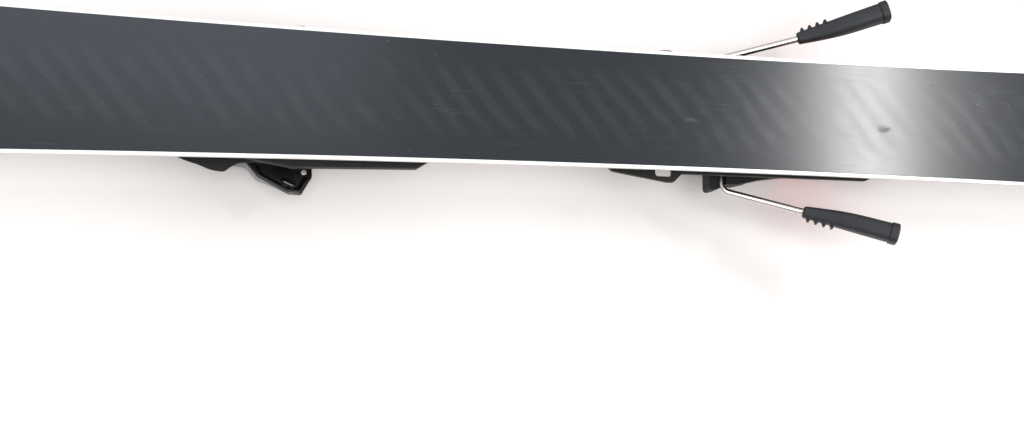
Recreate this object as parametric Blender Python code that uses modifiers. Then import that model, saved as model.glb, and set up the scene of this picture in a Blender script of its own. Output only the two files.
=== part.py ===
"""A carving ski with its step-in binding and ski brake, as separate pieces.

The ski is drawn the way it stands on snow: x runs from the tip to the tail, y to the skier's right
and z up from the running base. One empty then turns the whole ski upside down, so that it
rests on the tops of its toe and heel pieces with its base up, at world z = 0.
Each group of pieces that moves has an empty on its own joint axis.
"""
import math

import bmesh
import bpy
import numpy as np
from mathutils import Matrix, Vector

for old in list(bpy.data.objects):
    bpy.data.objects.remove(old, do_unlink=True)

MM = 0.001
GAP = 0.3 * MM
BOND = 0.2 * MM

# Ski outline
SKI_LENGTH = 1650 * MM
WAIST_WIDTH = 68 * MM
WAIST_X = 192 * MM
FRONT_SIDECUT = 15.6
REAR_SIDECUT = 11.5
NOSE_LENGTH = 125 * MM
TAIL_ROUNDING = 50 * MM
TAIL_NARROWING = 0.35
TIP_PIECE = 42 * MM
TAIL_PIECE = 20 * MM
TIP_END = -SKI_LENGTH / 2
TAIL_END = SKI_LENGTH / 2

# Ski side view
MID_THICKNESS = 13 * MM
END_THICKNESS = 5.6 * MM
CAMBER = 4 * MM
FRONT_CONTACT = TIP_END + 175 * MM
REAR_CONTACT = TAIL_END - 85 * MM
TIP_RADIUS = 306 * MM
TAIL_RADIUS = 451 * MM
FLAT_LENGTH = 460 * MM

# Layers
BASE_THICKNESS = 1.4 * MM
EDGE_WIDTH = 2.1 * MM
EDGE_HEIGHT = 2.0 * MM
LAMINATE = 0.7 * MM
TOPSHEET = 0.6 * MM
SIDEWALL_WIDTH = 7 * MM
SIDEWALL_ANGLE = math.radians(10)
SIDE_STEP = 0.2 * MM
LOWER_TOP = EDGE_HEIGHT + BOND + LAMINATE
UPPER_STACK = TOPSHEET + 2 * BOND + LAMINATE

# Binding position and heights above the base
BOOT_CENTRE = 80 * MM
SOLE_LENGTH = 305 * MM
TOE_SETBACK = 4.5 * MM
BOOT_TOE = BOOT_CENTRE - SOLE_LENGTH / 2 + TOE_SETBACK
BOOT_HEEL = BOOT_TOE + SOLE_LENGTH
STAND_HEIGHT = 38 * MM
TOE_LUG = 19 * MM
HEEL_LUG = 30 * MM
CUP_LIP = 8 * MM
HOOD_THICKNESS = 3.7 * MM
CUP_TOP = STAND_HEIGHT + HEEL_LUG + CUP_LIP
REST_HEIGHT = CUP_TOP + GAP + HOOD_THICKNESS
PLATE_BOTTOM = MID_THICKNESS + GAP

# Screws that hold the binding down
SCREW_RADIUS = 2.7 * MM
SCREW_HEAD_RADIUS = 4.6 * MM
SCREW_TIP = 6 * MM
TOE_SCREW_X = (BOOT_TOE - 48 * MM, BOOT_TOE + 65 * MM)
TOE_SCREW_Y = 19 * MM
HEEL_SCREW_X = (BOOT_HEEL - 111 * MM, BOOT_HEEL + 15 * MM)
HEEL_SCREW_Y = 10 * MM

# Toe piece
TOE_PLATE_THICKNESS = 6 * MM
TOE_PLATE_TOP = PLATE_BOTTOM + TOE_PLATE_THICKNESS
TOE_PLATE_HALF_WIDTH = 38 * MM
WING_PIVOT = (BOOT_TOE - 24 * MM, 22 * MM)
WING_BOTTOM = STAND_HEIGHT + 3 * MM
WING_THICKNESS = TOE_LUG - MM
WING_HUB = 8 * MM
WING_PIN_RADIUS = 3 * MM
SLOT_PLAY = 0.5 * MM
TOE_AXIS_HEIGHT = STAND_HEIGHT + 8 * MM
TOE_BORE_RADIUS = 8.6 * MM
TOE_ROD_RADIUS = 2.6 * MM
SPRING_RADIUS = 5.6 * MM
SPRING_WIRE = 1.0 * MM

# Heel piece
RAIL_HALF_WIDTH = 33.5 * MM
RAIL_START = BOOT_HEEL - 124 * MM
RAIL_END = BOOT_HEEL + 41 * MM
RAIL_FLOOR = 3 * MM
RAIL_HEIGHT = 9 * MM
RAIL_LIP = 1.5 * MM
RAIL_MOUTH = 18 * MM
RAIL_CHANNEL = 22 * MM
SLIDER_START = BOOT_HEEL - 69 * MM
SLIDER_END = BOOT_HEEL + 33 * MM
DECK_TOP = PLATE_BOTTOM + RAIL_HEIGHT + 3.7 * MM
DECK_HALF_WIDTH = 29 * MM
HEEL_PIVOT = (BOOT_HEEL + 15 * MM, STAND_HEIGHT + 10 * MM)
HEEL_PIN_RADIUS = 3 * MM
HEEL_PIN_REACH = 22.5 * MM
TOWER_HALF_WIDTH = 12 * MM
TOWER_ROUND = 8 * MM
HOUSING_HALF_WIDTH = 27.5 * MM
HOUSING_LEAN = 0.19
HEEL_SPRING_ANGLE = math.radians(12)
HEEL_BORE_RADIUS = 8 * MM
LEVER_PIVOT = (BOOT_HEEL + 27 * MM, REST_HEIGHT - 13 * MM)
LEVER_PIN_RADIUS = 2 * MM
LEVER_PIN_REACH = 17.2 * MM
LEVER_HALF_WIDTH = 18.5 * MM
LEVER_HUB_HALF_WIDTH = 12 * MM
CUP_BACK = BOOT_HEEL + 5.5 * MM
LATCH_AXIS = (BOOT_HEEL + 28 * MM, PLATE_BOTTOM + RAIL_HEIGHT + 1.8 * MM)

# Brake
BRAKE_PIVOT = (BOOT_HEEL - 51 * MM, DECK_TOP + 3 * MM)
BRAKE_REST_ANGLE = math.radians(26)
ARM_OUT = WAIST_WIDTH / 2 + 5.6 * MM
WIRE_RADIUS = 2.0 * MM
WIRE_BEND = 6 * MM
PEDAL_REACH = 36 * MM
PEDAL_HALF_WIDTH = 24 * MM
GRIP_ROOT = Vector((BRAKE_PIVOT[0] + 46.8 * MM, ARM_OUT + 12.6 * MM, BRAKE_PIVOT[1] - 9.2 * MM))
GRIP_TIP = Vector((BRAKE_PIVOT[0] + 96.7 * MM, ARM_OUT + 27.8 * MM, BRAKE_PIVOT[1] - 28 * MM))
GRIP_BORE_DEPTH = 30 * MM


def from_toe(offset):
    """A place along the ski, in millimetres behind the front of the boot's sole."""
    return BOOT_TOE + offset * MM


def from_heel(offset):
    """A place along the ski, in millimetres behind the back of the boot's sole."""
    return BOOT_HEEL + offset * MM


def new_collection(name, hidden=False):
    """A collection under the scene; cutters go in a hidden one."""
    made = bpy.data.collections.new(name)
    bpy.context.scene.collection.children.link(made)
    made.hide_render = hidden
    return made


PARTS = new_collection("carving_ski")
CUTTERS = new_collection("cutters", hidden=True)


def empty(name, place, parent=None):
    """An empty at a place given in the ski's own upright frame."""
    made = bpy.data.objects.new(name, None)
    PARTS.objects.link(made)
    made["place"] = list(place)
    if parent:
        made.parent = parent
        made.location = Vector(place) - Vector(parent["place"])
    return made


SKI_FRAME = empty("ski_frame", (0, 0, 0))
SKI_FRAME.location = (0, 0, REST_HEIGHT)
SKI_FRAME.rotation_euler = (math.pi, 0, 0)


def material(name, colour, roughness, metallic=0.0):
    """A Principled material with one colour."""
    made = bpy.data.materials.new(name)
    made.use_nodes = True
    shader = made.node_tree.nodes["Principled BSDF"]
    shader.inputs["Base Color"].default_value = (*colour, 1)
    shader.inputs["Roughness"].default_value = roughness
    shader.inputs["Metallic"].default_value = metallic
    return made


FINISHES = {
    "base": ((0.045, 0.055, 0.065), 0.35, 0.0),
    "steel": ((0.80, 0.80, 0.80), 0.22, 1.0),
    "sidewall": ((0.75, 0.75, 0.75), 0.45, 0.0),
    "laminate": ((0.35, 0.30, 0.18), 0.6, 0.0),
    "wood": ((0.60, 0.42, 0.24), 0.7, 0.0),
    "topsheet": ((0.80, 0.80, 0.80), 0.25, 0.0),
    "protector": ((0.03, 0.03, 0.03), 0.5, 0.0),
    "black_plastic": ((0.02, 0.02, 0.022), 0.45, 0.0),
    "gloss_black": ((0.015, 0.015, 0.017), 0.2, 0.0),
    "grey_plastic": ((0.10, 0.10, 0.10), 0.5, 0.0),
    "red_plastic": ((0.45, 0.03, 0.03), 0.3, 0.0),
    "white_plastic": ((0.75, 0.75, 0.73), 0.35, 0.0),
    "clear": ((0.80, 0.85, 0.88), 0.1, 0.0),
    "zinc": ((0.62, 0.62, 0.60), 0.3, 1.0),
}
MATERIALS = {name: material(name, *values) for name, values in FINISHES.items()}


def add(name, mesh, finish=None, parent=None):
    """Puts a mesh drawn in the upright frame into the scene; without a finish it is a cutter."""
    made = bpy.data.objects.new(name, mesh)
    parent = parent or SKI_FRAME
    made.parent = parent
    made.location = -Vector(parent["place"])
    if finish:
        mesh.materials.clear()
        mesh.materials.append(MATERIALS[finish])
        PARTS.objects.link(made)
    else:
        made.hide_render = True
        made.display_type = "WIRE"
        CUTTERS.objects.link(made)
    return made


def mesh_from(name, bm):
    """Closes off a bmesh into a mesh whose faces point out."""
    bmesh.ops.recalc_face_normals(bm, faces=bm.faces)
    mesh = bpy.data.meshes.new(name)
    bm.to_mesh(mesh)
    bm.free()
    return mesh


def box_mesh(name, x, y, z):
    """A box between pairs of x, y and z."""
    bm = bmesh.new()
    size = [high - low for low, high in (x, y, z)]
    middle = [(high + low) / 2 for low, high in (x, y, z)]
    bmesh.ops.create_cube(bm, size=1, matrix=Matrix.Translation(middle) @ Matrix.Diagonal((*size, 1)))
    return mesh_from(name, bm)


def rod_mesh(name, start, end, radius, sides=24):
    """A cylinder from one point to another."""
    start = Vector(start)
    line = Vector(end) - start
    turn = line.to_track_quat("Z", "Y").to_matrix().to_4x4()
    bm = bmesh.new()
    bmesh.ops.create_cone(
        bm, cap_ends=True, segments=sides, radius1=radius, radius2=radius, depth=line.length,
        matrix=Matrix.Translation(start + line / 2) @ turn,
    )
    return mesh_from(name, bm)


def mesh_of_curve(made, matrix):
    """The evaluated mesh of a curve, with its caps welded and flat, moved by a matrix; the curve is removed."""
    bpy.context.view_layer.update()
    evaluated = made.evaluated_get(bpy.context.evaluated_depsgraph_get())
    mesh = bpy.data.meshes.new_from_object(evaluated)
    curve = made.data
    bpy.data.objects.remove(made, do_unlink=True)
    bpy.data.curves.remove(curve)
    bm = bmesh.new()
    bm.from_mesh(mesh)
    bmesh.ops.remove_doubles(bm, verts=bm.verts, dist=1e-6)
    bmesh.ops.dissolve_limit(bm, angle_limit=0.001, verts=bm.verts, edges=bm.edges)
    bmesh.ops.recalc_face_normals(bm, faces=bm.faces)
    bmesh.ops.transform(bm, matrix=matrix, verts=bm.verts)
    bm.to_mesh(mesh)
    bm.free()
    return mesh


def rounded(points, steps=3):
    """An outline whose points with a third number have an arc of that radius at the corner."""
    made = []
    for i, point in enumerate(points):
        corner = Vector(point[:2])
        radius = point[2] if len(point) > 2 else 0
        if not radius:
            made.append(corner)
            continue
        before = (Vector(points[i - 1][:2]) - corner).normalized()
        after = (Vector(points[(i + 1) % len(points)][:2]) - corner).normalized()
        half = before.angle(after) / 2
        reach = radius / math.tan(half)
        centre = corner + (before + after).normalized() * radius / math.sin(half)
        first = corner + before * reach - centre
        turn = (corner + after * reach - centre).angle_signed(first)
        for k in range(steps + 1):
            angle = turn * k / steps
            spun = Vector((
                first.x * math.cos(angle) - first.y * math.sin(angle),
                first.x * math.sin(angle) + first.y * math.cos(angle),
            ))
            made.append(centre + spun)
    return made


def slab_mesh(name, points, low, high, plane="XY"):
    """A flat outline with depth from low to high: one in XY rises in z, one in XZ or YZ runs along y or x."""
    curve = bpy.data.curves.new(name, "CURVE")
    curve.dimensions = "2D"
    curve.fill_mode = "BOTH"
    curve.extrude = (high - low) / 2
    corners = rounded(points)
    spline = curve.splines.new("POLY")
    spline.points.add(len(corners) - 1)
    for target, corner in zip(spline.points, corners):
        target.co = (corner.x, corner.y, 0, 1)
    spline.use_cyclic_u = True
    made = bpy.data.objects.new(name, curve)
    bpy.context.scene.collection.objects.link(made)
    middle = (low + high) / 2
    cycle_axes = Matrix(((0, 0, 1, 0), (1, 0, 0, 0), (0, 1, 0, 0), (0, 0, 0, 1)))
    turns = {
        "XY": Matrix.Translation((0, 0, middle)),
        "XZ": Matrix.Translation((0, middle, 0)) @ Matrix.Rotation(math.pi / 2, 4, "X"),
        "YZ": Matrix.Translation((middle, 0, 0)) @ cycle_axes,
    }
    return mesh_of_curve(made, turns[plane])


def tube_mesh(name, points, radius, resolution=2):
    """A round wire of one radius along a list of points."""
    curve = bpy.data.curves.new(name, "CURVE")
    curve.dimensions = "3D"
    curve.bevel_depth = radius
    curve.bevel_resolution = resolution
    curve.use_fill_caps = True
    spline = curve.splines.new("POLY")
    spline.points.add(len(points) - 1)
    for target, point in zip(spline.points, points):
        target.co = (*point, 1)
    made = bpy.data.objects.new(name, curve)
    bpy.context.scene.collection.objects.link(made)
    return mesh_of_curve(made, Matrix.Identity(4))


def loft_mesh(name, rings):
    """A closed body through rings of points, each with the same count, with flat ends."""
    bm = bmesh.new()
    rows = [[bm.verts.new(point) for point in ring] for ring in rings]
    for row, following in zip(rows, rows[1:]):
        for i in range(len(row)):
            j = (i + 1) % len(row)
            bm.faces.new((row[i], row[j], following[j], following[i]))
    bm.faces.new(rows[0])
    bm.faces.new(list(reversed(rows[-1])))
    return mesh_from(name, bm)


def boolean(target, cutter, operation="DIFFERENCE"):
    """Cuts one piece with a cutter, or joins the cutter's shape to it."""
    step = target.modifiers.new(cutter.name, "BOOLEAN")
    step.operation = operation
    step.solver = "EXACT"
    step.object = cutter
    return target


def cut(target, *meshes):
    """Cuts meshes away from a piece."""
    for mesh in meshes:
        boolean(target, add(f"{target.name}_{mesh.name}", mesh, parent=target.parent))
    return target


def join(target, *meshes):
    """Adds meshes to a piece as one body."""
    for mesh in meshes:
        boolean(target, add(f"{target.name}_{mesh.name}", mesh, parent=target.parent), "UNION")
    return target


def soften(target, width, segments=2):
    """Rounds the sharp edges of a piece."""
    step = target.modifiers.new("soften", "BEVEL")
    step.width = width
    step.segments = segments
    step.limit_method = "ANGLE"
    step.angle_limit = math.radians(40)
    return target


def smooth(target):
    """Shades round faces smooth and keeps sharp edges."""
    target.data.shade_smooth()
    target.data.set_sharp_from_angle(angle=math.radians(35))
    return target


def helix(centre, along, side, radius, length, turns, per_turn=8):
    """Points of a coil round a line from centre; along and side are unit vectors square to each other."""
    other = along.cross(side)
    made = []
    for k in range(turns * per_turn + 1):
        angle = 2 * math.pi * k / per_turn
        out = side * math.cos(angle) + other * math.sin(angle)
        made.append(centre + along * (length * k / (turns * per_turn)) + out * radius)
    return made


def coil_mesh(name, centre, along, side, radius, wire, length, turns):
    """A wound spring as one tube, and a print of the least gap between neighbouring turns."""
    pitch = length / turns
    print(f"{name}: least gap between turns {(pitch - 2 * wire) / MM:.2f} mm")
    return tube_mesh(name, helix(centre, along, side, radius, length, turns), wire, resolution=1)


# The ski's outline and side view

FLAT_START = BOOT_CENTRE - FLAT_LENGTH / 2
FLAT_STOP = BOOT_CENTRE + FLAT_LENGTH / 2
NOSE_START = TIP_END + NOSE_LENGTH
TAIL_START = TAIL_END - TAIL_ROUNDING


def half_width(x):
    """Half the ski's width: a circle arc of sidecut each side of the waist, times a round nose and tail."""
    radius = FRONT_SIDECUT if x < WAIST_X else REAR_SIDECUT
    width = WAIST_WIDTH / 2 + (x - WAIST_X) ** 2 / (2 * radius)
    if x < NOSE_START:
        share = min((NOSE_START - x) / NOSE_LENGTH, 0.985)
        width *= (1 - share ** 2.6) ** (1 / 2.2)
    if x > TAIL_START:
        width *= 1 - TAIL_NARROWING * ((x - TAIL_START) / TAIL_ROUNDING) ** 4
    return width


def ease(share):
    """A smooth step from 0 to 1."""
    share = min(max(share, 0), 1)
    return share * share * (3 - 2 * share)


def away_from_flat(x):
    """0 on the flat under the boot, 1 at the contact points and beyond."""
    if x < FLAT_START:
        return (FLAT_START - x) / (FLAT_START - FRONT_CONTACT)
    return (x - FLAT_STOP) / (REAR_CONTACT - FLAT_STOP)


def base_height(x):
    """Height of the running base: camber between the contact points, an arc at the tip and tail."""
    height = -CAMBER * ease(away_from_flat(x))
    if x < FRONT_CONTACT:
        height += (FRONT_CONTACT - x) ** 2 / (2 * TIP_RADIUS)
    if x > REAR_CONTACT:
        height += (x - REAR_CONTACT) ** 2 / (2 * TAIL_RADIUS)
    return height


def thickness(x):
    """Ski thickness: full under the boot, thin at the tip and tail."""
    return MID_THICKNESS + (END_THICKNESS - MID_THICKNESS) * ease(away_from_flat(x))


def steepness(x):
    """How much longer a square-on thickness is when measured straight up."""
    reach = MM
    slope = (base_height(x + reach) - base_height(x - reach)) / (2 * reach)
    return math.sqrt(1 + slope * slope)


def side(x, height):
    """Half-width of the ski's side at a height above the base: the edge, then the sloping sidewall."""
    if height <= EDGE_HEIGHT:
        return half_width(x)
    return half_width(x) - SIDE_STEP - (height - EDGE_HEIGHT) * math.tan(SIDEWALL_ANGLE)


def stations(start, end):
    """Places along the ski for a loft: close together at the tip and tail, wider apart between."""
    places = [start]
    while places[-1] < end:
        x = places[-1]
        step = 11 * MM if x < FRONT_CONTACT or x > REAR_CONTACT - 10 * MM else 50 * MM
        places.append(x + step)
    places[-1] = end
    return places


def layer(name, finish, section, start=None, end=None):
    """One layer of the ski: section(x) gives its outline as pairs of y and height above the base."""
    start = TIP_END + TIP_PIECE if start is None else start
    end = TAIL_END - TAIL_PIECE if end is None else end
    rings = []
    for x in stations(start, end):
        lift = steepness(x)
        rings.append([(x, y, base_height(x) + height * lift) for y, height in section(x)])
    return smooth(add(name, loft_mesh(name, rings), finish))


def strip(half, low, high):
    """A rectangle across the ski."""
    return [(-half, low), (half, low), (half, high), (-half, high)]


def base_sheet():
    return layer(
        "base_sheet", "base",
        lambda x: strip(half_width(x) - EDGE_WIDTH - BOND, 0, BASE_THICKNESS),
    )


def steel_edge(name, sign):
    def section(x):
        outer = sign * half_width(x)
        inner = outer - sign * EDGE_WIDTH
        return [(inner, 0), (outer, 0), (outer, EDGE_HEIGHT), (inner, EDGE_HEIGHT)]
    return layer(name, "steel", section)


def lower_laminate():
    def section(x):
        outer = side(x, EDGE_HEIGHT + BOND)
        inner = half_width(x) - EDGE_WIDTH - BOND
        sole = BASE_THICKNESS + BOND
        step = EDGE_HEIGHT + BOND
        return [
            (-outer, step), (-inner, step), (-inner, sole), (inner, sole), (inner, step), (outer, step),
            (outer, LOWER_TOP), (-outer, LOWER_TOP),
        ]
    return layer("lower_laminate", "laminate", section)


def core_top(x):
    return thickness(x) - UPPER_STACK - BOND


def wood_core():
    return layer(
        "wood_core", "wood",
        lambda x: strip(half_width(x) - SIDEWALL_WIDTH - BOND, LOWER_TOP + BOND, core_top(x)),
    )


def sidewall(name, sign):
    def section(x):
        low = LOWER_TOP + BOND
        high = core_top(x)
        inner = half_width(x) - SIDEWALL_WIDTH
        corners = (inner, low), (side(x, low), low), (side(x, high), high), (inner, high)
        return [(sign * y, z) for y, z in corners]
    return layer(name, "sidewall", section)


def upper_laminate():
    def section(x):
        low = thickness(x) - UPPER_STACK
        return strip(side(x, low + LAMINATE), low, low + LAMINATE)
    return layer("upper_laminate", "laminate", section)


def topsheet():
    def section(x):
        high = thickness(x)
        low = high - TOPSHEET
        half = side(x, low)
        chamfer = TOPSHEET / 2
        return [
            (-half, low), (half, low), (half, high - chamfer), (half - chamfer, high),
            (-half + chamfer, high), (-half, high - chamfer),
        ]
    return layer("topsheet", "topsheet", section)


def end_protector(name, start, end):
    """A solid plastic piece, as thick as the ski, with chamfered edges."""
    def section(x):
        half = half_width(x)
        high = thickness(x)
        chamfer = 1.2 * MM
        right = [(half - chamfer, 0), (half, chamfer), (half, high - chamfer), (half - chamfer, high)]
        return [*right, *[(-y, z) for y, z in reversed(right)]]
    return layer(name, "protector", section, start, end)


def screw(name, x, y, head_top, head_height):
    """A flat-headed screw with a cross recess, turned from a profile that runs down its outer side."""
    profile = [
        (0, head_top), (SCREW_HEAD_RADIUS, head_top), (SCREW_HEAD_RADIUS, head_top - head_height),
        (SCREW_RADIUS, head_top - head_height), (SCREW_RADIUS, SCREW_TIP + SCREW_RADIUS), (0, SCREW_TIP),
    ]
    mesh = bpy.data.meshes.new(name)
    mesh.from_pydata([(r, 0, z) for r, z in profile], [(i, i + 1) for i in range(len(profile) - 1)], [])
    made = add(name, mesh, "zinc")
    made.location = (x, y, 0)
    turn = made.modifiers.new("turn", "SCREW")
    turn.steps = 16
    turn.render_steps = 16
    turn.use_merge_vertices = True
    turn.merge_threshold = 1e-6
    cross = 1.1 * MM
    for k, (wide, deep) in enumerate(((5 * MM, cross), (cross, 5 * MM))):
        slot = box_mesh(
            f"drive_{k}", (x - wide / 2, x + wide / 2), (y - deep / 2, y + deep / 2),
            (head_top - 0.6 * MM, head_top + MM),
        )
        cut(made, slot)
    return made


def screw_hole(x, y, low, high, radius=SCREW_RADIUS + GAP):
    return rod_mesh(f"hole_{x / MM:.0f}_{y / MM:.0f}_{low / MM:.0f}", (x, y, low), (x, y, high), radius, 16)


def places(xs, y):
    """Four screw places: two rows, each side of the middle."""
    return [(x, sign * y) for x in xs for sign in (1, -1)]


TOE_SCREWS = places(TOE_SCREW_X, TOE_SCREW_Y)
HEEL_SCREWS = places(HEEL_SCREW_X, HEEL_SCREW_Y)


def ski():
    """The laminate, with the screw holes through the top layers into the core."""
    base_sheet()
    steel_edge("steel_edge_left", -1)
    steel_edge("steel_edge_right", 1)
    lower_laminate()
    sidewall("sidewall_left", -1)
    sidewall("sidewall_right", 1)
    for piece in (wood_core(), upper_laminate(), topsheet()):
        cut(piece, *[
            screw_hole(x, y, SCREW_TIP - GAP, MID_THICKNESS + MM) for x, y in TOE_SCREWS + HEEL_SCREWS
        ])
    end_protector("tip_protector", TIP_END, TIP_END + TIP_PIECE - BOND)
    end_protector("tail_protector", TAIL_END - TAIL_PIECE + BOND, TAIL_END)


# Toe piece

WING_TOP = WING_BOTTOM + WING_THICKNESS
PIN_LOW = STAND_HEIGHT - 8 * MM
PIN_HIGH = WING_TOP + 9 * MM
SCALE_HALF_WIDTH = 4 * MM
YOKE_FRONT = WING_PIVOT[0] + 6.4 * MM
TOE_WALL = from_toe(-6)
NUT_BACK = from_toe(-63)
NUT_FRONT = from_toe(-71)
GLIDE_X = (from_toe(6), from_toe(50))


def toe_plate():
    """The base plate under the toe piece: rounded at the front, wide under the wings, sloped at the back."""
    wide = TOE_PLATE_HALF_WIDTH
    half = [
        (from_toe(-70), 0.42 * wide, 8 * MM), (from_toe(-50), 0.765 * wide, 6 * MM), (from_toe(6), wide, 6 * MM),
        (from_toe(73), 0.953 * wide, 3 * MM), (from_toe(82), 0.803 * wide, 2 * MM),
    ]
    outline = [*half, *[(x, -y, r) for x, y, r in reversed(half)]]
    made = add("toe_plate", slab_mesh("toe_plate", outline, PLATE_BOTTOM, TOE_PLATE_TOP), "grey_plastic")
    head = 2.6 * MM
    for x, y in TOE_SCREWS:
        cut(made, screw_hole(x, y, MID_THICKNESS, TOE_PLATE_TOP + MM))
        cut(made, screw_hole(x, y, TOE_PLATE_TOP - head, TOE_PLATE_TOP + MM, SCREW_HEAD_RADIUS + GAP))
    for k, (x, y) in enumerate(TOE_SCREWS, 1):
        screw(f"toe_screw_{k}", x, y, TOE_PLATE_TOP - GAP, head - 2 * GAP)
    corners = (58, -9), (74, -9), (74, 9), (58, 9)
    pocket = [(from_toe(x), y * MM, 3 * MM) for x, y in corners]
    cut(made, slab_mesh("pocket", pocket, PLATE_BOTTOM + 2 * MM, TOE_PLATE_TOP + MM))
    return smooth(made)


# Share of the toe piece's half-width at a share of its height
TOE_ROUND = (
    (0, 1), (0.1, 0.972), (0.3, 0.905), (0.5, 0.845), (0.7, 0.785), (0.82, 0.735), (0.92, 0.645), (0.975, 0.54),
    (1, 0.42),
)


def scale_window(name, housing, start, end, parent):
    """A clear window let into the highest face of a housing, over the scale for the release force."""
    half = SCALE_HALF_WIDTH
    recess = (REST_HEIGHT - 1.9 * MM, REST_HEIGHT + MM)
    pane = (REST_HEIGHT - 1.6 * MM, REST_HEIGHT - 0.4 * MM)
    cut(housing, box_mesh("scale_recess", (start, end), (-half, half), recess))
    inner = half - GAP
    made = add(name, box_mesh(name, (start + GAP, end - GAP), (-inner, inner), pane), "clear", parent)
    return soften(made, GAP, 1)


def toe_section(x, half, top):
    """Sides that lean in as they rise, rounded over to a flat top."""
    bottom = TOE_PLATE_TOP + GAP
    right = [(half * wide, bottom + (top - bottom) * high) for high, wide in TOE_ROUND]
    return [(x, y, z) for y, z in right] + [(x, -y, z) for y, z in reversed(right)]


# Toe piece in millimetres: place behind the boot's toe, half-width there, and drop of its top below the highest
TOE_SHAPE = (
    (-74, 17, 24), (-72, 20, 20), (-68, 23.5, 16), (-61, 28.8, 12), (-54, 34.2, 8.5), (-44, 37.6, 4.5),
    (-35, 40.6, 2), (-30.5, 41, 0.8), (-27, 38.6, 0.2), (-22, 36, 0), (-4, 34, 0), (2, 32, 0.8), (7, 29.5, 4),
)


def toe_housing():
    """A moulded shell: nose, shoulders ahead of the wings, and a lip over the boot's toe."""
    rings = [toe_section(from_toe(x), half * MM, REST_HEIGHT - drop * MM) for x, half, drop in TOE_SHAPE]
    made = add("toe_housing", loft_mesh("toe_housing", rings), "grey_plastic")
    wide = 60 * MM
    slot = (WING_BOTTOM - SLOT_PLAY, WING_TOP + SLOT_PLAY)
    slot_front = WING_PIVOT[0] - WING_HUB - 4 * MM
    cut(made, box_mesh("wing_slot", (slot_front, TOE_WALL), (-wide, wide), slot))
    lip = STAND_HEIGHT + TOE_LUG + 3 * MM
    cut(made, box_mesh("boot_space", (TOE_WALL + 3.5 * MM, 0), (-wide, wide), (0, lip)))
    for sign in (1, -1):
        edge = sorted((sign * 14 * MM, sign * wide))
        cut(made, box_mesh(f"wing_way_{sign}", (TOE_WALL - MM, TOE_WALL + 6 * MM), edge, slot))
        pin = WING_PIVOT[0], sign * WING_PIVOT[1]
        cut(made, rod_mesh(f"pin_hole_{sign}", (*pin, PIN_LOW - GAP), (*pin, PIN_HIGH + GAP),
                           WING_PIN_RADIUS + GAP, 16))
    axis = TOE_AXIS_HEIGHT
    cut(made, rod_mesh("spring_bore", (from_toe(-79), 0, axis), (from_toe(-41), 0, axis), TOE_BORE_RADIUS))
    rod_hole = (from_toe(-44), 0, axis), (from_toe(-32), 0, axis)
    cut(made, rod_mesh("rod_hole", *rod_hole, TOE_ROD_RADIUS + GAP, 16))
    scale_window("toe_scale_window", made, from_toe(-17), from_toe(-7), SKI_FRAME)
    return smooth(made)


# Plan of a toe wing in millimetres from its pin, with corner radii: hub, nose to the yoke, arm out to the boot
WING_OUTLINE = (
    (5.7, -18.4, 0.8), (6, -13, 1), (9, -5, 3), (15, 2, 3), (29, 8.8, 3), (37, 9.6, 3),
    (41.4, 10.6, 1.5), (41.6, 15.5, 2), (36.2, 24.8, 2.5), (28.5, 24.4, 4), (11.4, 16.8, 6), (5.2, 9.6, 3),
    (-5, 8.2, 5), (-8, 1, 4), (-5.5, -7.2, 4), (1.5, -10, 2), (2.5, -18, 0.8),
)
# Plan of the shallow hollow in a wing's underside, a rim's width inside its outline
WING_HOLLOW = (
    (12.4, 14.8, 3), (28, 22, 3), (35, 22.4, 1.5), (39.7, 15, 1.5), (39.7, 12, 1), (30, 10.8, 3), (17, 5.6, 2),
    (8.6, 8.6, 2),
)
WING_PAD = ((16.4, 2.34, 0), (28.4, 8.16, 0), (29.3, 6.3, 0), (17.3, 0.5, 0))
WING_MOULDING_SLOT = ((25, 18.6), (31.6, 20.6))
WING_SCREW = (37, 13.8)


def wing_plan(sign, points):
    """Points given in millimetres from the right wing's pin, placed on the ski; sign -1 mirrors them."""
    x, y = WING_PIVOT
    return [(x + p[0] * MM, sign * (y + p[1] * MM), *[r * MM for r in p[2:]]) for p in points]


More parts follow.
